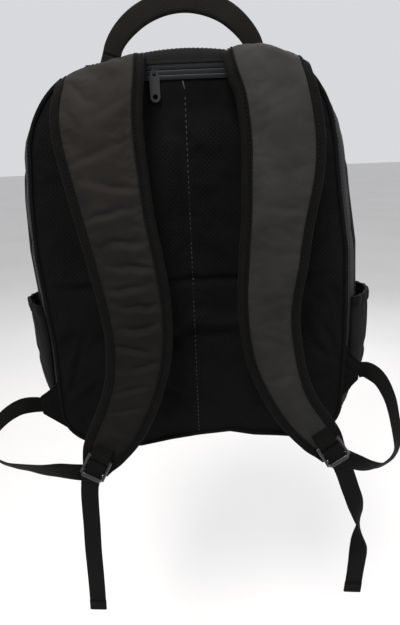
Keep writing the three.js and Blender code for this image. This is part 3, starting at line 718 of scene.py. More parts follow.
def stitches(name, points, lift, long, gap, radius):
    """A row of sewn dashes along points: small capsules whose middles stand out along lift."""
    points = np.asarray(points, float)
    lift = np.broadcast_to(np.asarray(lift, float), points.shape)
    run = distances(points)
    rings, sides = len(DASH_AT), DASH_SIDES
    verts, faces = [], []
    for start in np.arange(gap, run[-1] - long, long + gap):
        at = start + long * DASH_AT
        centre = sampled(at, run, points)
        up = unit(sampled(at, run, lift))
        t = unit(np.tile(centre[-1] - centre[0], (rings, 1)))
        side = unit(np.cross(t, up))
        base = len(verts)
        for c, u, s, r, h in zip(centre, up, side, radius * DASH_SIZE, radius * DASH_RISE):
            for j in range(sides):
                angle = 2 * np.pi * j / sides
                verts.append(c + u * (h + r * np.sin(angle)) + s * r * np.cos(angle))
        faces += quads(rings, sides, True, base)
        faces.append(tuple(base + j for j in reversed(range(sides))))
        faces.append(tuple(base + (rings - 1) * sides + j for j in range(sides)))
    return new_object(name, verts, faces)


def soften(obj, width, segments, angle):
    """Rounds a hard piece's edges."""
    angle = math.radians(angle)
    modifier(obj, "BEVEL", width=width * MM, segments=segments, limit_method="ANGLE", angle_limit=angle)
    shade_smooth(obj.data)
    modifier(obj, "WEIGHTED_NORMAL", keep_sharp=True)


def thicken(obj, thick, offset, rounded=False):
    """Gives a sheet its thickness: along its normals at offset 1, against them at -1, both ways at 0."""
    modifier(obj, "SOLIDIFY", thickness=thick * MM, offset=offset)
    if rounded:
        modifier(obj, "SUBSURF", levels=1, render_levels=1)
    return apply_modifiers(obj)


def looks_along(obj, direction):
    """1 if most of a sheet's faces look along a direction, and -1 if they look against it."""
    direction = Vector(direction)
    facing = sum(direction.dot(p.normal) * p.area for p in obj.data.polygons)
    return 1.0 if facing > 0 else -1.0


# ---- The body's outline and shell -----------------------------------------------------------

SIDE_SWAY = {
    "left": ([0, 60, 130, 177, 242, 303, 348, 395, 440], [0, 0, 0, 4, 9, 8, 4, 1, 0]),
    "right": ([0, 64, 132, 171, 241, 301, 368, 410, 440], [3, 6, 8, 8, 6, -3, -11, -8, 0]),
}
BASE_SAG = ([-180, -120, -77, -36, 1, 40, 71, 103, 140, 180], [0, -9, -12, -3, 3, 7, 1, -1, -5, 0])

# Seams and welts on the wall, by height and by share of the way from the back face to the front.
SEAM_SHARES = (0.06, 0.94)
WELT_SHARE = 0.3
WELT_SPAN = (60, 348)
PIPING_TOP_Z = 428


def sway(points):
    """How the soft body hangs: its sides and base move out or in a little, but its zipped front doesn't."""
    points = np.array(points, float)
    x, y, z = (points[..., k].copy() for k in range(3))
    left = -np.interp(z, *SIDE_SWAY["left"])
    right = np.interp(z, *SIDE_SWAY["right"])
    near_side = smooth(np.abs(x), 90, 175)
    loose = 1 - smooth(y, 75, 125)
    points[..., 0] += np.where(x < 0, left, right) * near_side * loose
    points[..., 2] += np.interp(x, *BASE_SAG) * (1 - smooth(z, 5, 75)) * loose
    return points


def half_width(z, out=0.0, front=False):
    """Half the width of the outline, moved outwards by out, at a height."""
    z = np.asarray(z, float)
    taper = FRONT_TAPER if front else 0
    shoulder = SHOULDER_Z - TOP_CORNER
    lean = (z - BASE_CORNER) / (shoulder - BASE_CORNER)
    side = FOOT_HALF_WIDTH + (TOP_HALF_WIDTH - FOOT_HALF_WIDTH) * np.clip(lean, 0, 1) + out - taper
    foot_radius = BASE_CORNER + out
    foot = FOOT_HALF_WIDTH - BASE_CORNER - taper
    foot_x = foot + np.sqrt(np.maximum(foot_radius**2 - (BASE_CORNER - z) ** 2, 0))
    top_radius = TOP_CORNER + out - taper
    top = TOP_HALF_WIDTH - TOP_CORNER
    top_x = top + np.sqrt(np.maximum(top_radius**2 - (z - shoulder) ** 2, 0))
    crest_x = top * np.sqrt(np.clip(1 - (z - shoulder - top_radius) / CROWN, 0, 1))
    found = np.where(z < BASE_CORNER, foot_x, side)
    found = np.where(z > shoulder, top_x, found)
    return np.where(z > shoulder + top_radius, crest_x, found)


def depth_at(z):
    return BASE_DEPTH + DEPTH_SLOPE * np.asarray(z, float)


def outline(step):
    """Points and outward normals round the back face, anticlockwise from the middle of the base."""
    foot = FOOT_HALF_WIDTH - BASE_CORNER
    top = TOP_HALF_WIDTH - TOP_CORNER
    shoulder = SHOULDER_Z - TOP_CORNER
    points, normals = [], []

    def line(a, b, normal):
        count = max(2, int(np.hypot(*np.subtract(b, a)) / step))
        for t in np.arange(count) / count:
            points.append(np.add(a, np.subtract(b, a) * t))
            normals.append(normal)

    def arc(x, z, radius, start):
        count = int(radius * np.pi / 2 / step)
        for angle in start + np.arange(count) / count * np.pi / 2:
            normal = (np.cos(angle), np.sin(angle))
            points.append((x + radius * normal[0], z + radius * normal[1]))
            normals.append(normal)

    line((0, 0), (foot, 0), (0, -1))
    arc(foot, BASE_CORNER, BASE_CORNER, -np.pi / 2)
    line((FOOT_HALF_WIDTH, BASE_CORNER), (TOP_HALF_WIDTH, shoulder), (1, 0))
    arc(top, shoulder, TOP_CORNER, 0)
    count = int(2 * top / step)
    for x in top - 2 * top * np.arange(count) / count:
        points.append((x, SHOULDER_Z + CROWN * (1 - (x / top) ** 2)))
        normals.append(unit((2 * CROWN * x / top**2, 1)))
    arc(-top, shoulder, TOP_CORNER, np.pi / 2)
    line((-TOP_HALF_WIDTH, shoulder), (-FOOT_HALF_WIDTH, BASE_CORNER), (-1, 0))
    arc(-foot, BASE_CORNER, BASE_CORNER, np.pi)
    line((-foot, 0), (0, 0), (0, -1))
    return np.array(points, float), np.array(normals, float)


def wall_points(p, n, v, out):
    """The wall's points: v runs from 0 at the back face to 1 at the front, and out is along the normal."""
    side = (SIDE_BULGE + SIDE_BULGE_SLOPE * p[..., 1]) * n[..., 0] ** 4
    top = np.where(n[..., 1] > 0, TOP_BULGE * n[..., 1] ** 2, 0)
    taper = FRONT_TAPER * v * np.where(n[..., 1] < 0, n[..., 0] ** 2, 1)
    reach = (side + top) * np.sin(np.pi * v) - taper + out
    return np.stack([
        p[..., 0] + n[..., 0] * reach,
        v * depth_at(p[..., 1]),
        p[..., 1] + n[..., 1] * reach,
    ], axis=-1)


def make_shell():
    """The one cloth wall round the sides, top and base, with soft folds that fade towards its seams."""
    p, n = outline(5.0)
    v = np.linspace(0, 1, 31)
    flat = wall_points(p[:, None], n[:, None], v[None], 0.0)
    fade = np.sin(np.pi * v)[None]
    folds = 2.6 * ripple(flat * [1, 0.6, 0.45], 46, 3) + 1.3 * ripple(flat * [1, 1.3, 0.8], 17, 5)
    slump = 3.0 * np.exp(-(((flat[..., 2] - 250) / 22) ** 2)) * np.abs(n[:, None, 0])
    points = wall_points(p[:, None], n[:, None], v[None], -0.6 + fade * (folds - slump))
    rows = sway(points)
    rows = np.concatenate([rows, rows[:1]])
    shell = tidy(grid("shell_wall", rows))
    thicken(shell, 1.6, -1.0)
    dress(shell, "shell", "pack", (
        "side_panel_left", "side_panel_right", "top_panel", "base_panel",
    ))
    sewn = []
    for number, at in enumerate(SEAM_SHARES):
        seam = sway(wall_points(p, n, at, 0.5))
        outward = np.stack([n[:, 0], 0 * n[:, 0], n[:, 1]], axis=1)
        sewn.append(stitches(f"seam_{number}", seam, outward, 3.2, 1.2, 0.32))
    low, high = WELT_SPAN
    for side in SIDES.values():
        z = np.linspace(low, high, 90)
        q = np.stack([side * half_width(z), z], axis=1)
        rise = -0.6 - 3 * smooth(z, high - 23, high)
        welt = sway(wall_points(q, np.tile([side, 0.0], (len(z), 1)), WELT_SHARE, rise))
        dress(round_tube(f"side_welt_{side}", welt, 1.7, 8), "coated", "pack")
    dress(join("shell_seams", sewn), "thread", "pack")


def make_piping():
    """The back face's outline, reordered to start at its highest point, with the part above the piping's
    top left out; it makes no cord.
    """
    p, n = outline(5.0)
    order = np.roll(np.arange(len(p)), -np.argmax(p[:, 1]))
    p, n = p[order], n[order]
    keep = p[:, 1] < PIPING_TOP_Z
    p, n = p[keep], n[keep]


def make_piping():
    p, n = outline(5.0)
    turn = np.argmax(p[:, 1] * 1.0)
    order = np.roll(np.arange(len(p)), -turn)
    p, n = p[order], n[order]
    keep = p[:, 1] < 428
    p, n = p[keep], n[keep]
    line = np.stack([p[:, 0] - n[:, 0] * 1.5, np.full(len(p), -1.6), p[:, 1] - n[:, 1] * 1.5], axis=1)
    pipe = round_tube("back_piping_cord", sway(line), 2.3, 12)
    dress(pipe, "binding", "pack", ("back_piping",))


# ---- Back panel -----------------------------------------------------------------------------

SEAM_X = ([0, 210, 424], [3, 0, -6])
BACK_CROWN = 8.5
PLATE_COLS = 61
CREASE_Z = 209
FOLD_BAND = (126, 172)
CORNER_PULLS = [
    # folds that the webbing pulls into the lower corners: foot, head and depth
    (168, 92, 118, 128, 4.0), (168, 84, 128, 168, 4.5), (170, 100, 152, 196, 4.0), (166, 78, 120, 70, 3.0),
    (-166, 52, -118, 96, 3.0), (-168, 60, -140, 150, 3.5),
]


def back_face(u, z, half):
    """The back cover's surface: a padded crown each side of the middle seam, a crease and a slack fold."""
    x = u * half
    away = np.abs(x - np.interp(z, *SEAM_X))
    crown = BACK_CROWN * (1 - np.exp(-away / 15)) * (1 - np.abs(u) ** 6)
    under_zip = 1 - smooth(z, 352, 396) * (1 - 0.6 * smooth(np.abs(x), 60, 120))
    crown = crown * smooth(z, -4, 45) * under_zip
    crease = 5.5 * np.exp(-(((z - CREASE_Z - 0.03 * x) / 4.5) ** 2)) * (1 - np.abs(u) ** 4)
    low, high = FOLD_BAND
    middle = (low + high) / 2 + 0.05 * x
    fold = 6.5 * np.exp(-(((z - middle - 8) / 8) ** 2)) - 5.5 * np.exp(-(((z - middle + 10) / 9) ** 2))
    fold = fold * (1 - np.abs(u) ** 3) * (0.55 + 0.45 * np.cos(x / 38))
    at = np.stack([x, 0 * x, z], axis=-1)
    lumps = 2.2 * ripple(at * [1, 1, 0.7], 60, 11) * (1 - np.abs(u) ** 4) * under_zip
    pulls = np.zeros_like(x)
    for foot_x, foot_z, head_x, head_z, deep in CORNER_PULLS:
        run = np.hypot(head_x - foot_x, head_z - foot_z)
        along = ((x - foot_x) * (head_x - foot_x) + (z - foot_z) * (head_z - foot_z)) / run
        off = ((x - foot_x) * (head_z - foot_z) - (z - foot_z) * (head_x - foot_x)) / run
        reach = smooth(along, 0, 0.3 * run) * (1 - smooth(along, 0.5 * run, run)) * (1 - np.abs(u) ** 8)
        pulls += deep * reach * (np.exp(-((off / 5) ** 2)) - 0.8 * np.exp(-(((off - 8) / 5) ** 2)))
    return np.stack([x, -1.2 - crown + crease - fold - lumps - pulls, z], axis=-1)


def make_back():
    z = np.linspace(2.5, REAR_ZIP_Z - 5.5, 106)
    even = np.linspace(-1, 1, 91)
    u = 0.55 * np.sin(even * np.pi / 2) + 0.45 * even
    half = half_width(z, -2.0)
    zz, uu = np.meshgrid(z, u, indexing="ij")
    points = sway(back_face(uu, zz, half[:, None]))
    cover = tidy(grid("back_cover", points))
    held = np.zeros(points.shape[:2])
    held[:3] = held[-3:] = 1
    held[:, :3] = held[:, -3:] = 1
    middle = np.argmin(np.abs(u))
    held[:, middle] = 1
    settle(cover, held.ravel(), grow=0.022, cap=5)
    thicken(cover, 2.6, looks_along(cover, (0, 1, 0)), rounded=True)
    dress(cover, "mesh", "pack", ("back_mesh_cover",))
    line = points[:, middle] + [0, -0.5, 0]
    thread = stitches("back_centre_stitching", line[:-4], BACKWARD, 3.0, 2.6, 0.38)
    bar = line[-4:-1] + np.outer([0, 1, 2], [-0.9, 0, 0])
    tack = round_tube("tack", bar, 0.7, 8)
    dress(join("back_centre_stitching", [thread, tack]), "pale_thread", "pack")
    across = points[np.argmin(np.abs(z - CREASE_Z)), 4:-4] + [0, -0.4, 0]
    sewn = stitches("back_cross_stitching", across, BACKWARD, 3.0, 1.6, 0.35)
    dress(sewn, "thread", "pack")


def crowned_plate(name, low, high, out, y, crown, thick, front=False, rows=40, lumps=0.0, sides=None):
    """A cloth-covered plate between two heights; crown and lumps push its middle to the front.

    y is the plate's own surface, as a number or a function of height. sides gives half of its width at a
    height, and without it the plate fills the body's outline, moved outwards by out."""
    z = np.linspace(low, high, rows)
    u = np.linspace(-1, 1, PLATE_COLS)
    half = np.maximum(half_width(z, out, front), 1.0) if sides is None else sides(z)
    x = u[None] * half[:, None]
    zz = np.repeat(z[:, None], PLATE_COLS, axis=1)
    edge = (1 - np.abs(u[None]) ** 4) * np.sin(np.pi * np.clip((zz - low) / (high - low), 0, 1)) ** 0.4
    at = np.stack([x, 0 * x, zz], axis=-1)
    level = y(zz) if callable(y) else y
    face = level + crown * edge + lumps * ripple(at, 55, 7) * edge
    sheet = tidy(grid(name, sway(np.stack([x, face, zz], axis=-1))))
    modifier(sheet, "SOLIDIFY", thickness=thick * MM, offset=0)
    modifier(sheet, "BEVEL", width=0.3 * thick * MM, segments=2)
    return apply_modifiers(sheet)


SLEEVE_TOP_Z = 300
SLEEVE_HALF = 152
SLEEVE_CORNER = 12


def sleeve_half(z):
    """Half of the racket sleeve's width: its lower corners are rounded."""
    return SLEEVE_HALF - SLEEVE_CORNER + SLEEVE_CORNER * np.sqrt(1 - (1 - smooth(z, 8, 20)) ** 2)


def make_yoke_and_inside():
    top = SHOULDER_Z + CROWN
    low = REAR_ZIP_Z + 5.6
    yoke = crowned_plate("top_yoke_cover", low, top - 1.4, -1.5, 0.6, -2.2, 2.6, rows=12, lumps=-0.6)
    dress(yoke, "shell", "pack", ("top_yoke",))
    foam = crowned_plate("back_pad_foam", 3.5, top - 4, -4, 7.2, 0.0, 7.2, lumps=0.3)
    dress(foam, "foam", "pack", ("back_foam_pad",))
    lining = crowned_plate("inner_back_lining", 3.5, top - 4, -4, 11.8, 1.0, 1.0, lumps=0.8)
    dress(lining, "lining", "pack", ("back_lining",))
    high = SLEEVE_TOP_Z
    sleeve = crowned_plate("racket_sleeve_cloth", 8, high, 0, 35, 4.0, 1.6, lumps=2.0, sides=sleeve_half)
    dress(sleeve, "lining", "pack", ("racket_sleeve",))
    x = np.linspace(1 - SLEEVE_HALF, SLEEVE_HALF - 1, 80)
    wave = 0.4 * ripple(np.stack([x, x * 0, x * 0], axis=1), 30, 2)
    hem_line = np.stack([x, np.full(80, 35.5), high + wave], axis=1)
    hem = round_tube("sleeve_hem", hem_line, 3.2, 12, 0.5)
    dress(hem, "binding", "pack")
    board = frame["nodes"]["base_board"]
    paint(board, "foam")
    modifier(board, "BEVEL", width=0.6 * MM, segments=2)
# ---- Shoulder straps ------------------------------------------------------------------------

STRAP_STEP = 2.4
STRAP_COLS = 31
STRAP_NUDGE = {
    # how far the soft edges hang from the CAD strap's, by height: inner edge and outer edge along X
    "left": (
        [10, 53, 84, 136, 187, 236, 282, 326, 369, 410, 440],
        [0, 6, 8, 9, 6, 4, 3, 4, 1, 0, 0],
        [0, -2, -1, -4, -6, -5, -1, 2, -2, -4, -2],
    ),
    "right": (
        [10, 50, 82, 134, 185, 233, 280, 323, 365, 407, 440],
        [0, -5, -7, -7, -1, 3, 4, 3, 6, 6, 0],
        [0, -6, -8, -1, 1, 5, 2, 2, 1, -1, -2],
    ),
}
STRAP_ROOF = {
    # how far the top of each strap rises or drops, by distance from the centre line
    "left": ([39, 60, 82, 105, 127], [3.5, -1, -6, -12, -19]),
    "right": ([39, 54, 78, 96, 108, 127], [1, 5, 5, 0, -4, -12]),
}
STRAP_WRINKLES = {
    # height in the pack, depth, half-width of the ridge, slope across, and where it is strongest across
    "left": [
        (388, 1.6, 6, 0.5, 0.5), (352, 2.4, 5, 0.35, -0.5), (322, 3.4, 4.4, -0.15, 0.4),
        (296, 4.6, 4, 0.2, -0.3),
        (262, 4.4, 4.4, 0.12, 0.2), (240, 5.4, 3.9, -0.08, 0.5), (216, 5.2, 3.9, 0.1, -0.2),
        (196, 5.8, 3.7, -0.05, 0.4), (172, 6.0, 4.2, 0.14, 0.1), (146, 5.4, 3.9, -0.12, -0.4),
        (128, 5.0, 3.9, 0.1, 0.4), (104, 4.4, 4, 0.22, -0.2), (78, 3.2, 4.4, 0.2, 0.2),
    ],
    "right": [
        (330, 0.6, 8, 0.2, 0.3), (292, 1.5, 4, -0.12, 0.3), (250, 0.9, 7, -0.15, -0.2),
        (198, 1.1, 7, 0.2, 0.3),
        (150, 1.3, 6, -0.2, -0.4), (112, 1.2, 6, 0.2, 0.2),
    ],
}
STRAP_LUMPS = {"left": (0.8, 21), "right": (0.5, 27)}
STRAP_GROW = {"left": 0.025, "right": 0.008}


def strap_rows(name):
    """The rows of the strap's middle line, hung to its side."""
    lean, lift = STRAP_HANG[name]
    rows = []
    for z, x, y, *_ in STRAP_LINE:
        drop = STRAP_ROOT_Z - z
        rows.append((SIDES[name] * x + lean * drop, y, z + lift * max(0, drop) / STRAP_ROOT_Z))
    return rows


def strap_frames(name, shares):
    """The strap's middle line, as in the CAD: centres, across, out, up, width and thickness."""
    rows = strap_rows(name)
    shares = np.asarray(shares, float)
    centres = catmull(rows, shares)
    ahead = catmull(rows, np.clip(shares + 1e-4, 0, 1))
    behind = catmull(rows, np.clip(shares - 1e-4, 0, 1))
    t = unit(ahead - behind)
    a = unit(np.array([1.0, 0, 0]) - t * t[:, :1])
    last = len(STRAP_LINE) - 1
    sizes = np.array([row[3:] for row in STRAP_LINE], float)
    wide, thick = sampled(shares * last, np.arange(last + 1), sizes).T
    return centres, a, np.cross(t, a), t, wide, thick


def eased(values, width=5):
    """Values smoothed by a running mean, with their ends kept."""
    kernel = np.ones(2 * width + 1) / (2 * width + 1)
    padded = np.concatenate([np.full(width, values[0]), values, np.full(width, values[-1])])
    return np.convolve(padded, kernel, "valid")


class Strap:
    """A shoulder strap as its cloth hangs, in rows about STRAP_STEP apart from its root down."""

    def __init__(self, name):
        self.name = name
        shares, self.along = even_shares(strap_rows(name), STRAP_STEP)
        self.centres, self.across, self.out, _, wide, thick = strap_frames(name, shares)
        z, *nudges = STRAP_NUDGE[name]
        inner, outer = (np.interp(self.centres[:, 2], z, nudge) for nudge in nudges)
        self.centres[:, 0] += eased((inner + outer) / 2)
        self.wide = eased(wide + SIDES[name] * (outer - inner))
        self.thick = eased(thick)
        self.inner = self.wide / 2 - STRAP_BORDER

    def at(self, across, height):
        """Points of each row by their places across the strap and out of its middle surface."""
        points = (
            self.centres[:, None]
            + self.across[:, None] * across[..., None]
            + self.out[:, None] * height[..., None]
        )
        lift = np.interp(np.abs(points[..., 0]), *STRAP_ROOF[self.name])
        points[..., 2] += lift * smooth(points[..., 2], 335, 428)
        return points

    def row(self, across, height):
        """A line down the strap, with one place across and one height for each row."""
        return self.at(across[:, None], height[:, None])[:, 0]

    def uv(self, across):
        """Cloth coordinates in metres: along the strap and across it."""
        along = np.broadcast_to(self.along[:, None], across.shape)
        return np.stack([along * MM, across * MM], axis=-1)


def strap_front(strap, share):
    """The face panel's surface between its seams, with its wrinkles; share runs from -1 to 1 across."""
    count = len(strap.centres)
    across = share[None] * strap.inner[:, None]
    crown = 2.3 * (1 - np.abs(share[None]) ** 3.2) - 1.6
    ends = smooth(np.arange(count), 0, 10) * (1 - smooth(np.arange(count), count - 9, count - 1))
    height = strap.thick[:, None] / 2 + crown * (0.35 + 0.65 * ends[:, None])
    points = strap.at(across, height)
    z = points[..., 2]
    rise = np.zeros_like(z)
    for number, (at, deep, half, slope, strong) in enumerate(STRAP_WRINKLES[strap.name]):
        wander = 4.5 * ripple(np.stack([across, 0 * z, 0 * z + number * 31], axis=-1), 38, 3 + number, 2)
        off = (z - at - slope * across - wander) / half
        reach = np.exp(-(((share[None] - strong) / 0.85) ** 2))
        rise += deep * reach * (np.exp(-((off + 1.5) ** 2) * 0.5) * 0.5 - np.exp(-(off**2) * 1.6) * 0.75)
    soft, seed = STRAP_LUMPS[strap.name]
    rise += soft * ripple(points * [1, 1, 1.4], 26, seed)
    rise *= (1 - np.abs(share[None]) ** 5) * ends[:, None]
    return points + strap.out[:, None] * rise[..., None]


def make_strap_face(strap):
    even = np.linspace(-1, 1, STRAP_COLS)
    share = np.sin(even * np.pi / 2) * 0.35 + even * 0.65
    points = strap_front(strap, share)
    face = grid(f"strap_pad_face_{strap.name}", points, strap.uv(share[None] * strap.inner[:, None]))
    held = np.zeros(points.shape[:2])
    held[:2] = held[-2:] = 1
    held[:, 0] = held[:, -1] = 1
    settle(face, held.ravel(), grow=STRAP_GROW[strap.name], cap=2.2, stiffness=20)
    outward = strap.out[len(strap.out) // 2]
    thicken(face, 2.2, -looks_along(face, outward), rounded=True)
    stands_for = (f"strap_face_{strap.name}", f"strap_foam_{strap.name}")
    dress(face, f"strap_{strap.name}", None, stands_for)
    return face


def make_strap_lining(strap):
    share = np.linspace(-1, 1, 15)
    thick = strap.thick[:, None]
    belly = 0.35 * thick + (thick * 0.2 + 0.4) * (1 - np.abs(share[None]) ** 4)
    across = share[None] * strap.inner[:, None]
    back = strap.at(across, -belly)
    level = strap.at(across, thick * 0.5 - 4.2 + 0 * across)
    rings = np.concatenate([level, back[:, ::-1]], axis=1)
    lining = tidy(tube(f"strap_pad_lining_{strap.name}", rings))
    dress(lining, "mesh", None, (f"strap_lining_{strap.name}",))
    return lining


def make_strap_edge(strap, which, sign):
    """One edge's binding, the stitching beside it and the cord between them."""
    name, half = strap.name, STRAP_BORDER / 2
    angle = np.linspace(0, 2 * np.pi, 18, endpoint=False) + np.pi / 18
    far = signed_power(np.cos(angle), 0.55)
    high = signed_power(np.sin(angle), 0.7)
    across = (strap.inner + 0.1 + half)[:, None] + far[None] * STRAP_BORDER / 2
    puff = 0.35 * ripple(strap.centres, 14, 31 + sign)[:, None]
    up = (strap.thick[:, None] / 2 - 1.15 + puff) * (1 - 0.32 * (far[None] + 1) / 2) * high[None]
    ring = strap.at(sign * across, up)
    uv = strap.uv(np.broadcast_to((far * STRAP_BORDER / 2)[None], across.shape))
    edge = tidy(tube(f"strap_binding_{which}_{name}", ring, uv))
    dress(edge, "binding", None, (f"strap_edge_{which}_{name}",))
    line = strap.row(sign * (strap.inner + 2.0), strap.thick / 2 - 0.95)
    sewn = stitches(f"strap_stitching_{which}_{name}", line[3:-3], strap.out[3:-3], 3.0, 1.3, 0.34)
    dress(sewn, "thread")
    line = strap.row(sign * (strap.inner + 0.1), strap.thick / 2 - 1.0)
    cord = round_tube(f"strap_piping_{which}_{name}", line, 1.05, 8)
    dress(cord, "binding")
    return [edge, sewn, cord]


def make_strap(name):
    strap = Strap(name)
    pieces = [make_strap_face(strap), make_strap_lining(strap)]
    for which, sign in (("inner", -SIDES[name]), ("outer", SIDES[name])):
        pieces += make_strap_edge(strap, which, sign)
    for piece in pieces:
        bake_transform(piece)
    make_bar_tacks(strap)


def make_bar_tacks(strap):
    """The dense stitching where the strap's root is sewn to the body."""
    rows = []
    for row in (3, 5):
        half = strap.wide[row] / 2 - 4
        across = np.repeat(np.linspace(-half, half, 30)[None], len(strap.wide), axis=0)
        line = strap.at(across, np.repeat(strap.thick[:, None] / 2 - 0.9, 30, axis=1))[row]
        rows.append(stitches(f"tack_{row}", line, strap.out[row], 2.4, 1.0, 0.35))
    dress(join(f"strap_root_stitching_{strap.name}", rows), "thread", "pack")


# ---- Locks and webbing ----------------------------------------------------------------------

LOCK_SHARE = 0.9
LOCK_LIFT = 9
LOCK_HALF = 14.5
# The lock's bars across: z, y, half of their height and half of their depth.
LOCK_BARS = [(0.0, 0.0, 1.55, 1.5), (-8.8, -0.3, 1.5, 1.6), (-19.6, 0.9, 1.5, 3.0)]
LOCK_VOXEL = 0.42
TAB_WIDE = 21


def lock_place(name):
    """The ladder lock's own axes in the pack's frame: x across, y out from the strap, z up it."""
    centres, a, b, t, _, thick = strap_frames(name, [LOCK_SHARE])
    origin = centres[0] + b[0] * (thick[0] / 2 + LOCK_LIFT)
    return origin, np.array([-a[0], b[0], -t[0]])


def in_lock(points, origin, axes):
    return origin + np.asarray(points, float) @ axes


def make_lock(name):
    """The ladder lock: its bars, two rails and a bent lip, melted into one moulding."""
    origin, axes = lock_place(name)
    right, out, up = axes
    half = LOCK_HALF
    parts = []
    x = np.linspace(-half + 1.0, half - 1.0, 11)
    for z, y, tall, deep in LOCK_BARS:
        bow = y + (0.9 * (1 - (x / half) ** 2) if z < -15 else 0 * x)
        centres = in_lock(np.stack([x, bow, np.full(11, z)], axis=1), origin, axes)
        parts.append(band("bar", centres, up, out, deep * 2, tall * 2, square=0.5))
    z = np.linspace(1.6, -22.4, 15)
    for sign in (-1, 1):
        local = np.stack([np.full(15, sign * (half - 1.6)), 0.9 * smooth(-z, 12, 22), z], axis=1)
        wide = 3.2 + 0.6 * smooth(-z, 14, 20)
        parts.append(band("rail", in_lock(local, origin, axes), right, out, wide, 4.3, square=0.45))
    x = np.linspace(-half + 1.5, half - 1.5, 25)
    lip = np.stack([x, 1.5 + 5.9 * (1 - np.abs(x / x[-1]) ** 10), np.full(25, -20.5)], axis=1)
    parts.append(band("lip", in_lock(lip, origin, axes), up, out, 4.6, 2.4, square=0.5))
    lock = join(f"ladder_lock_body_{name}", parts)
    modifier(lock, "REMESH", mode="VOXEL", voxel_size=LOCK_VOXEL * MM)
    modifier(lock, "SMOOTH", factor=0.6, iterations=5)
    apply_modifiers(lock)
    shade_smooth(lock.data)
    dress(lock, "plastic", f"lock_{name}", (f"ladder_lock_{name}",))
    make_tab(name, origin, axes)
    make_turn(name, origin, axes)


# The tab's and the turn's paths, as y and z in the lock's own axes.
TAB_PATH = [
    (-9.0, 13), (-7.0, 10), (-3.8, 5), (-2.3, 1.5), (-1.6, -1.6), (0.2, -2.5), (2.1, -1.4), (2.5, 1.4),
    (-0.6, 5.0), (-5.2, 10), (-7.6, 13),
]
TURN_PATH = [
    (-3.4, -19), (-3.2, -13), (-2.9, -8.5), (-1.5, -5.6), (0.6, -5.2), (2.3, -7.0), (2.9, -10), (3.4, -14),
    (4.4, -18), (4.6, -21.5), (4.2, -24.5),
]


def make_tab(name, origin, axes):
    """The folded webbing that holds the lock's upper bar to the strap's face."""
    path = [tuple(in_lock((0, *q), origin, axes)) for q in TAB_PATH]
    centres, _, _, along = ribbon_frames(path, [tuple(axes[1])] * len(path), 1.2)
    lift = np.cross(tangents(centres), axes[0])
    tab = band(f"strap_tab_{name}", centres, axes[0], lift, TAB_WIDE, 1.3, along)
    dress(tidy(tab), "webbing", None, (f"strap_lock_tab_{name}",))
    rows = []
    x = np.linspace(-TAB_WIDE / 2 + 1.5, TAB_WIDE / 2 - 1.5, 12)
    for z, y in ((4.0, 1.2), (6.5, -1.2)):
        line = np.stack([x, np.full(12, y), np.full(12, z)], axis=1)
        rows.append(stitches("sewn", in_lock(line, origin, axes), axes[1], 1.9, 0.9, 0.3))
    sewn = join(f"strap_tab_stitching_{name}", rows)
    dress(sewn, "thread")
    for piece in (tab, sewn):
        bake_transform(piece)


def make_turn(name, origin, axes):
    """The webbing's turn over the lock's middle bar, between the loop and the hanging tail."""
    tail = np.array(WEB_TAILS[name][:2], float)
    points = [tuple(in_lock((0, *q), origin, axes)) for q in TURN_PATH]
    points += [tuple(tail[0]), tuple(tail[0] + 0.35 * (tail[1] - tail[0]))]
    centres, _, _, along = ribbon_frames(points, [tuple(axes[1])] * len(points), 1.0)
    t = tangents(centres)
    turned = smooth(along / along[-1], 0.55, 0.98)[:, None]
    across = axes[0] * (1 - turned) + np.array([-1.0, 0, 0]) * turned
    across = unit(across - t * np.sum(across * t, axis=1, keepdims=True))
    turn = band(f"webbing_turn_{name}", centres, across, np.cross(t, across), WEB_WIDE + 0.6, 1.4, along)
    dress(tidy(turn), "webbing", f"lock_{name}")


def make_webbing(name):
    """The free webbing: the loop from the corner gusset to the lock, and the tail that hangs from it."""
    points, normals = WEB_LOOPS[name], WEB_LOOP_NORMALS[name]
    centres, across, out, along = ribbon_frames(points, normals)
    loop = tidy(band(f"webbing_loop_strap_{name}", centres, across, out, WEB_WIDE, WEB_THICK, along))
    dress(loop, "webbing", None, (f"webbing_loop_{name}",))
    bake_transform(loop)

    points = WEB_TAILS[name]
    share = smooth(np.arange(len(points)) / (len(points) - 1), 0.25, 0.85)
    angle = 2 * np.pi * TAIL_TURNS[name] * share
    normals = np.stack([np.sin(angle), -np.cos(angle), 0 * angle], axis=1)
    centres, across, out, along = ribbon_frames(points, normals)
    tail = tidy(band(f"webbing_tail_strap_{name}", centres, across, out, WEB_WIDE, WEB_THICK, along))
    dress(tail, "webbing", f"lock_{name}", (f"webbing_tail_{name}",))
    end, right, front = centres[-1], across[-1], out[-1]
    down = unit(end - centres[-3])
    ends = end + down * np.linspace(-0.6, HEM_LONG, 10)[:, None]
    hem = tidy(band(f"tail_end_{name}", ends, right, front, WEB_WIDE + 0.5, HEM_THICK))
    dress(hem, "webbing", f"lock_{name}", (f"tail_hem_{name}",))
    rows = []
    x = np.linspace(-8.5, 8.5, 14)[:, None]
    for at in (3.0, 10.5):
        for face in (-1, 1):
            line = end + down * at + right * x + front * face * 1.75
            rows.append(stitches("sewn", line, front * face, 1.8, 0.9, 0.3))
    sewn = join(f"tail_end_stitching_{name}", rows)
    dress(sewn, "thread", f"lock_{name}")


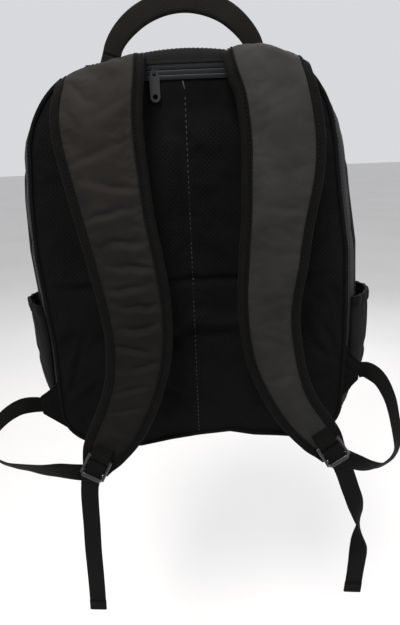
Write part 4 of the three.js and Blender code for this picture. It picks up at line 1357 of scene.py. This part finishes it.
def make_gusset(name):
    """The folded fabric triangle that comes out of the edge seam and holds the webbing."""
    side, z = SIDES[name], GUSSET_TIP_Z[name]
    low, high = GUSSET_SEAM[name]
    s = np.linspace(0, 1, 18)[:, None]
    h = np.linspace(0, 1, 25)[None]
    seam_z = low + (high - low) * h
    seam = sway(np.stack([side * (half_width(seam_z) - 3), 0 * seam_z - 0.8, seam_z], axis=-1))
    tip = np.stack([side * GUSSET_TIP_X + 0 * h, -4.2 + 0 * h, z + 12 * (2 * h - 1)], axis=-1)
    points = seam + (tip - seam) * s[..., None]
    slack = np.sin(np.pi * s)
    points[..., 1] -= slack * (1.2 * np.sin(np.pi * h) ** 0.6 + 0.9 * np.sin(h * 21))
    points[..., 0] -= side * slack * 3 * (2 * h - 1) ** 2
    gusset = tidy(grid(f"corner_gusset_cloth_{name}", points))
    thicken(gusset, 2.6, 0, rounded=True)
    dress(gusset, "webbing", "pack", (f"corner_gusset_{name}",))
    rows = []
    for inset in (3, 9):
        x = np.full(12, side * (GUSSET_TIP_X - inset))
        line = np.stack([x, np.full(12, -5.6), z + np.linspace(-9, 9, 12)], axis=1)
        rows.append(stitches("sewn", line, BACKWARD, 2.0, 0.9, 0.32))
    dress(join(f"gusset_stitching_{name}", rows), "thread", "pack")


# ---- Haul handle ----------------------------------------------------------------------------


def make_handle():
    line = [(x, HANDLE_Y, z) for x, z in HANDLE_LINE]
    back = [BACKWARD] * len(line)
    centres, across, out, along = ribbon_frames(line, back, 2.5)
    strap = tidy(band("haul_handle_strap", centres, across, out, HANDLE_WIDE, 2.5, along))
    dress(strap, "handle", "haul_handle", ("haul_handle_band",))
    share = along / along[-1]
    ends = smooth(np.minimum(share, 1 - share), 0, 0.22)
    rows = []
    for name, sign in (("back", -1), ("front", 1)):
        c = centres + np.array([0, sign, 0]) * (0.9 + 2.5 * ends)[:, None]
        wide, thick = HANDLE_WIDE - 0.4 + 0.8 * ends, 0.9 + 3.1 * ends
        pad = tidy(band(f"haul_handle_cover_{name}", c, across, out, wide, thick, along))
        dress(pad, "handle", "haul_handle", (f"haul_handle_pad_{name}",))
        for edge in (-1, 1):
            row = c + across * edge * (HANDLE_WIDE / 2 - 2.2) + [0, sign * 1.7, 0]
            rows.append(stitches("sewn", row[18:-18], (0, sign, 0), 2.8, 1.3, 0.34))
    dress(join("haul_handle_stitching", rows), "thread", "haul_handle")
    feet = []
    for (x, z), (next_x, next_z) in (HANDLE_LINE[:2], HANDLE_LINE[:-3:-1]):
        up = unit([next_x - x, 0, next_z - z])
        foot = np.array([x, HANDLE_Y, z]) + up * np.linspace(-15, 1.2, 6)[:, None]
        feet.append(band("foot", foot, (up[2], 0, -up[0]), BACKWARD, HANDLE_WIDE, 1.8))
    dress(join("haul_handle_feet", feet), "handle", "pack")


# ---- Zips -----------------------------------------------------------------------------------

TOOTH_PITCH = 2.6
# A tooth's outline: x across the zip towards the tooth's own side, and z out of the zip.
TOOTH_RING = [(-1, -0.4), (-0.62, 0.75), (0.1, 1.0), (0.55, 0.35), (0.55, -0.5), (-0.6, -0.9)]
REAR_ZIP_HALF = 100


def coil_teeth(name, points, out, wide, high):
    """Interlocked zip teeth: short rounded loops across the line, side by side."""
    points = np.asarray(points, float)
    run = distances(points)
    at = np.arange(TOOTH_PITCH, run[-1] - TOOTH_PITCH, TOOTH_PITCH / 2)
    centre = sampled(at, run, points)
    up = unit(sampled(at, run, np.broadcast_to(out, points.shape)))
    t = tangents(centre)
    side = np.cross(t, up)
    count = len(TOOTH_RING)
    verts, faces = [], []
    for number, (c, u, d, s) in enumerate(zip(centre, up, t, side)):
        flip = 1 if number % 2 else -1
        base = len(verts)
        for end in (-0.42, 0.42):
            for x, z in TOOTH_RING:
                verts.append(c + s * x * flip * wide / 2 + u * z * high / 2 + d * end * TOOTH_PITCH / 2)
        faces += quads(2, count, True, base)
        faces.append(tuple(base + j for j in reversed(range(count))))
        faces.append(tuple(base + count + j for j in range(count)))
    return tidy(new_object(name, verts, faces))


def make_rear_zip():
    x = np.linspace(-REAR_ZIP_HALF, REAR_ZIP_HALF, 81)
    bow = 1.3 * (1 - (x / REAR_ZIP_HALF) ** 2)
    up = (0, 0, 1)
    for name, low, sign in (("lower", -2.75, -1), ("upper", 2.75, 1)):
        centres = np.stack([x, -0.3 - 0.5 * bow, REAR_ZIP_Z + low + bow], axis=1)
        tape = tidy(band(f"rear_zip_cover_{name}", centres, up, BACKWARD, 5.1, 2.3, square=0.45))
        dress(tape, "coated", "pack", (f"rear_zip_tape_{name}",))
        sew = centres + [0, -1.2, sign * 1.9]
        row = stitches(f"rear_zip_stitching_{name}", sew, BACKWARD, 2.6, 1.2, 0.26)
        dress(row, "thread", "pack")
    low_lip = np.stack([x, -1.6 - 0.5 * bow, REAR_ZIP_Z - 7.2 + bow], axis=1)
    lip = tidy(band("rear_zip_lip", low_lip, up, BACKWARD, 4.6, 2.4, square=0.6))
    dress(lip, "coated", "pack")
    welt = tidy(band("rear_zip_welt", low_lip + [0, 0.4, 14.2], up, BACKWARD, 3.4, 2.2, square=0.6))
    dress(welt, "shell", "pack")


def front_line(out, low):
    """The front face's edge moved by out, above a height, with its outward normals."""
    p, n = outline(4.0)
    keep = p[:, 1] > low
    p, n = p[keep], n[keep]
    return wall_points(p, n, 1.0, out), np.stack([n[:, 0], 0 * n[:, 0], n[:, 1]], axis=1)


def make_main_zip():
    lean = unit([0, 1, -DEPTH_SLOPE])
    for which, out, sew_out, body in (("outer", -6.05, 2.1, "pack"), ("inner", -14.55, -2.1, "front_flap")):
        line, across = front_line(out, HINGE_Z + 1)
        line[:, 1] -= 0.6
        tape = tidy(band(f"main_zip_band_{which}", line, across, lean, 5.5, 1.2, square=0.3))
        dress(tape, "tape", body, (f"main_zip_tape_{which}",))
        sew = line + across * sew_out + lean * 0.45
        row = stitches(f"main_zip_stitching_{which}", sew, lean, 2.8, 1.3, 0.28)
        dress(row, "thread", body)
    line, _ = front_line(-10.2, HINGE_Z + 1)
    teeth = coil_teeth("main_zip_teeth", line, lean, 3.0, 1.9)
    dress(teeth, "plastic", "pack", ("main_zip_coil",))


def finish_hardware():
    """The sliders and pullers keep their CAD shapes, with rounded edges and moulded finishes."""
    for name, node in frame["nodes"].items():
        for ending, material in (("_slider", "metal"), ("_puller", "plastic")):
            if name.endswith(ending):
                paint(node, material)
                soften(node, 0.35, 3, 35)


# ---- Front flap and pockets -----------------------------------------------------------------

POCKET = {"half": 118, "low": 60, "high": 236, "corner": 34, "deep": 30, "zip": 200, "zip_half": 6}
SIDE_POCKET = {"low": 48, "high": 166, "v0": 0.1, "v1": 0.82, "mouth": 15, "hem": 12}
GATHERS = 46


def pocket_half(z):
    """Half of the front pocket's width at a height."""
    corner = POCKET["corner"]
    down = np.maximum(POCKET["low"] + corner - z, 0) + np.maximum(z - POCKET["high"] + corner, 0)
    return POCKET["half"] - corner + np.sqrt(np.maximum(corner**2 - down**2, 0))


def front_cloth(z):
    """The front face's cloth: y at a height."""
    return depth_at(z) - 1.4


def make_front():
    top = SHOULDER_Z + CROWN - FRONT_TAPER
    panel = crowned_plate(
        "front_flap_cloth", HINGE_Z + 0.6, top - 18.6, -17.6, front_cloth, 5.0, 2.6,
        front=True, rows=70, lumps=1.4,
    )
    dress(panel, "shell", "front_flap", ("front_panel",))
    low_band = crowned_plate(
        "front_base_cloth", 2.8, HINGE_Z - 0.6, -3.4, front_cloth, 1.6, 2.4, front=True, rows=14, lumps=0.8,
    )
    dress(low_band, "shell", "pack", ("front_base_band",))
    line, _ = front_line(-1.2, -1)
    pipe = round_tube("front_piping_cord", line + [0, 0.4, 0], 2.0, 10)
    dress(pipe, "binding", "pack")
    make_front_pocket()


def pocket_outline(count=240):
    """Even points round the front pocket and their outward normals, in x and z."""
    corner = POCKET["corner"]
    low, high = POCKET["low"] + corner, POCKET["high"] - corner
    ring, normals = [], []
    for side, z, start in ((1, low, -90), (1, high, 0), (-1, high, 90), (-1, low, 180)):
        for angle in np.radians(start + np.linspace(0, 90, 12)):
            normal = np.array([np.cos(angle), np.sin(angle)])
            ring.append(np.array([side * (POCKET["half"] - corner), z]) + corner * normal)
            normals.append(normal)
    ring, normals = np.array(ring + ring[:1]), np.array(normals + normals[:1])
    run = distances(ring)
    at = np.linspace(0, 1, count, endpoint=False) * run[-1]
    return sampled(at, run, ring), unit(sampled(at, run, normals))


def pocket_front(z):
    """The front pocket's face: y at a height."""
    return depth_at(z) + POCKET["deep"] + 1.4


def make_front_pocket():
    low, high = POCKET["low"], POCKET["high"]
    p, n = pocket_outline()
    px, pz, nx, nz = p[:, :1], p[:, 1:], n[:, :1], n[:, 1:]
    v = np.linspace(0, 1, 13)
    at = np.stack(np.broadcast_arrays(px, 40 * v, pz), axis=-1)
    puff = (3.0 * np.sin(np.pi * v) ** 0.7)[None] + 1.6 * ripple(at, 34, 9) * np.sin(np.pi * v)
    y = depth_at(pz) + 0.8 + v[None] * (POCKET["deep"] - 0.6)
    points = np.stack([px + nx * (puff - 0.8), y, pz + nz * (puff - 0.8)], axis=-1)
    wall = tidy(grid("front_pocket_gusset", np.concatenate([points, points[:1]])))
    thicken(wall, 1.6, 0.0)
    dress(wall, "shell", "front_flap", ("front_pocket_wall",))
    zip_low, zip_high = POCKET["zip"] - POCKET["zip_half"], POCKET["zip"] + POCKET["zip_half"]
    pieces = {
        "face": (low, zip_low - 0.4, 5.0, 2.0, 40, "shell", "body_fabric"),
        "zip": (zip_low, zip_high, 0.3, 1.0, 6, "tape", "zip_tape"),
        "hood": (zip_high + 0.4, high, 1.6, 2.0, 14, "shell", "body_fabric"),
    }
    for name, (z0, z1, crown, thick, rows, material, slot) in pieces.items():
        piece = crowned_plate(f"front_pocket_{name}_cloth", z0 + 0.3, z1, 0, pocket_front, crown, thick,
                              rows=rows, lumps=0.3 * crown, sides=pocket_half)
        dress(piece, material, "front_flap", (f"front_pocket_{name}",))
    x = np.linspace(-113, 113, 90)
    y = pocket_front(POCKET["zip"]) + 0.7
    line = np.stack([x, np.full(90, y), np.full(90, POCKET["zip"])], axis=1)
    teeth = coil_teeth("front_pocket_teeth", line, (0, 1, 0), 3.0, 1.8)
    dress(teeth, "plastic", "front_flap")
    edge = np.concatenate([px - nx * 0.4, pocket_front(pz) + 0.2, pz - nz * 0.4], axis=1)
    pipe = round_tube("front_pocket_piping", np.concatenate([edge, edge[:2]]), 1.9, 10)
    dress(pipe, "binding", "front_flap")


def side_sheet(name, side, low, high, rows, rise, base, gathers):
    """A sheet on a side wall between two heights, standing away from it in its middle."""
    v0, v1 = SIDE_POCKET["v0"], SIDE_POCKET["v1"]
    s = np.linspace(0, 1, 61)[None]
    h = np.linspace(0, 1, rows)[:, None]
    z = low + (high - low) * h + 0 * s
    p = np.stack([side * half_width(z), z], axis=-1)
    n = np.stack([side + 0 * z, 0 * z], axis=-1)
    belly = np.sqrt(np.maximum(np.sin(np.pi * s), 0))
    at = np.stack([40 * side + 0 * z, 150 * s + 0 * z, z], axis=-1)
    away = base + SIDE_POCKET["mouth"] * belly * rise(h)
    away = away + gathers(s, h) * belly + 1.8 * ripple(at * [1, 1.2, 0.6], 26, 13) * belly * rise(h)
    return grid(name, sway(wall_points(p, n, v0 + (v1 - v0) * s, away)))


def mesh_gathers(s, h):
    """The side pocket's pleats under its hem, and one slack fold that climbs to the front."""
    fold = np.exp(-(((h - 0.35 - 0.3 * s) / 0.07) ** 2))
    return 0.9 * np.sin(s * GATHERS) * smooth(h, 0.55, 1.0) - 1.8 * fold


def hem_gathers(s, h):
    return 1.1 * np.sin(s * GATHERS) + 1.0 * np.sin(np.pi * h)


def make_side_pockets():
    low, high, hem = SIDE_POCKET["low"], SIDE_POCKET["high"], SIDE_POCKET["hem"]
    for name, side in SIDES.items():
        sheet = tidy(side_sheet(
            f"side_pocket_mesh_{name}", side, low, high + 1, 60,
            lambda h: np.sqrt(np.minimum(1, h / 0.4)), 1.4, mesh_gathers,
        ))
        thicken(sheet, 1.3, 0.0)
        dress(sheet, "pocket", "pack", (f"side_pocket_{name}",))
        top = tidy(side_sheet(
            f"side_pocket_elastic_{name}", side, high, high + hem, 14,
            lambda h: 1 + 0 * h, 1.6, hem_gathers,
        ))
        thicken(top, 3.0, 0.0)
        modifier(top, "BEVEL", width=0.8 * MM, segments=2)
        apply_modifiers(top)
        dress(top, "binding", "pack", (f"side_pocket_hem_{name}",))


# ---- Everything, in order -------------------------------------------------------------------

make_camera()
for side_name in SIDES:
    make_webbing(side_name)
make_studio()
make_shell()
make_piping()
make_back()
make_yoke_and_inside()
for side_name in SIDES:
    make_strap(side_name)
    make_lock(side_name)
    make_gusset(side_name)
make_handle()
make_rear_zip()
make_main_zip()
make_front()
make_side_pockets()
finish_hardware()
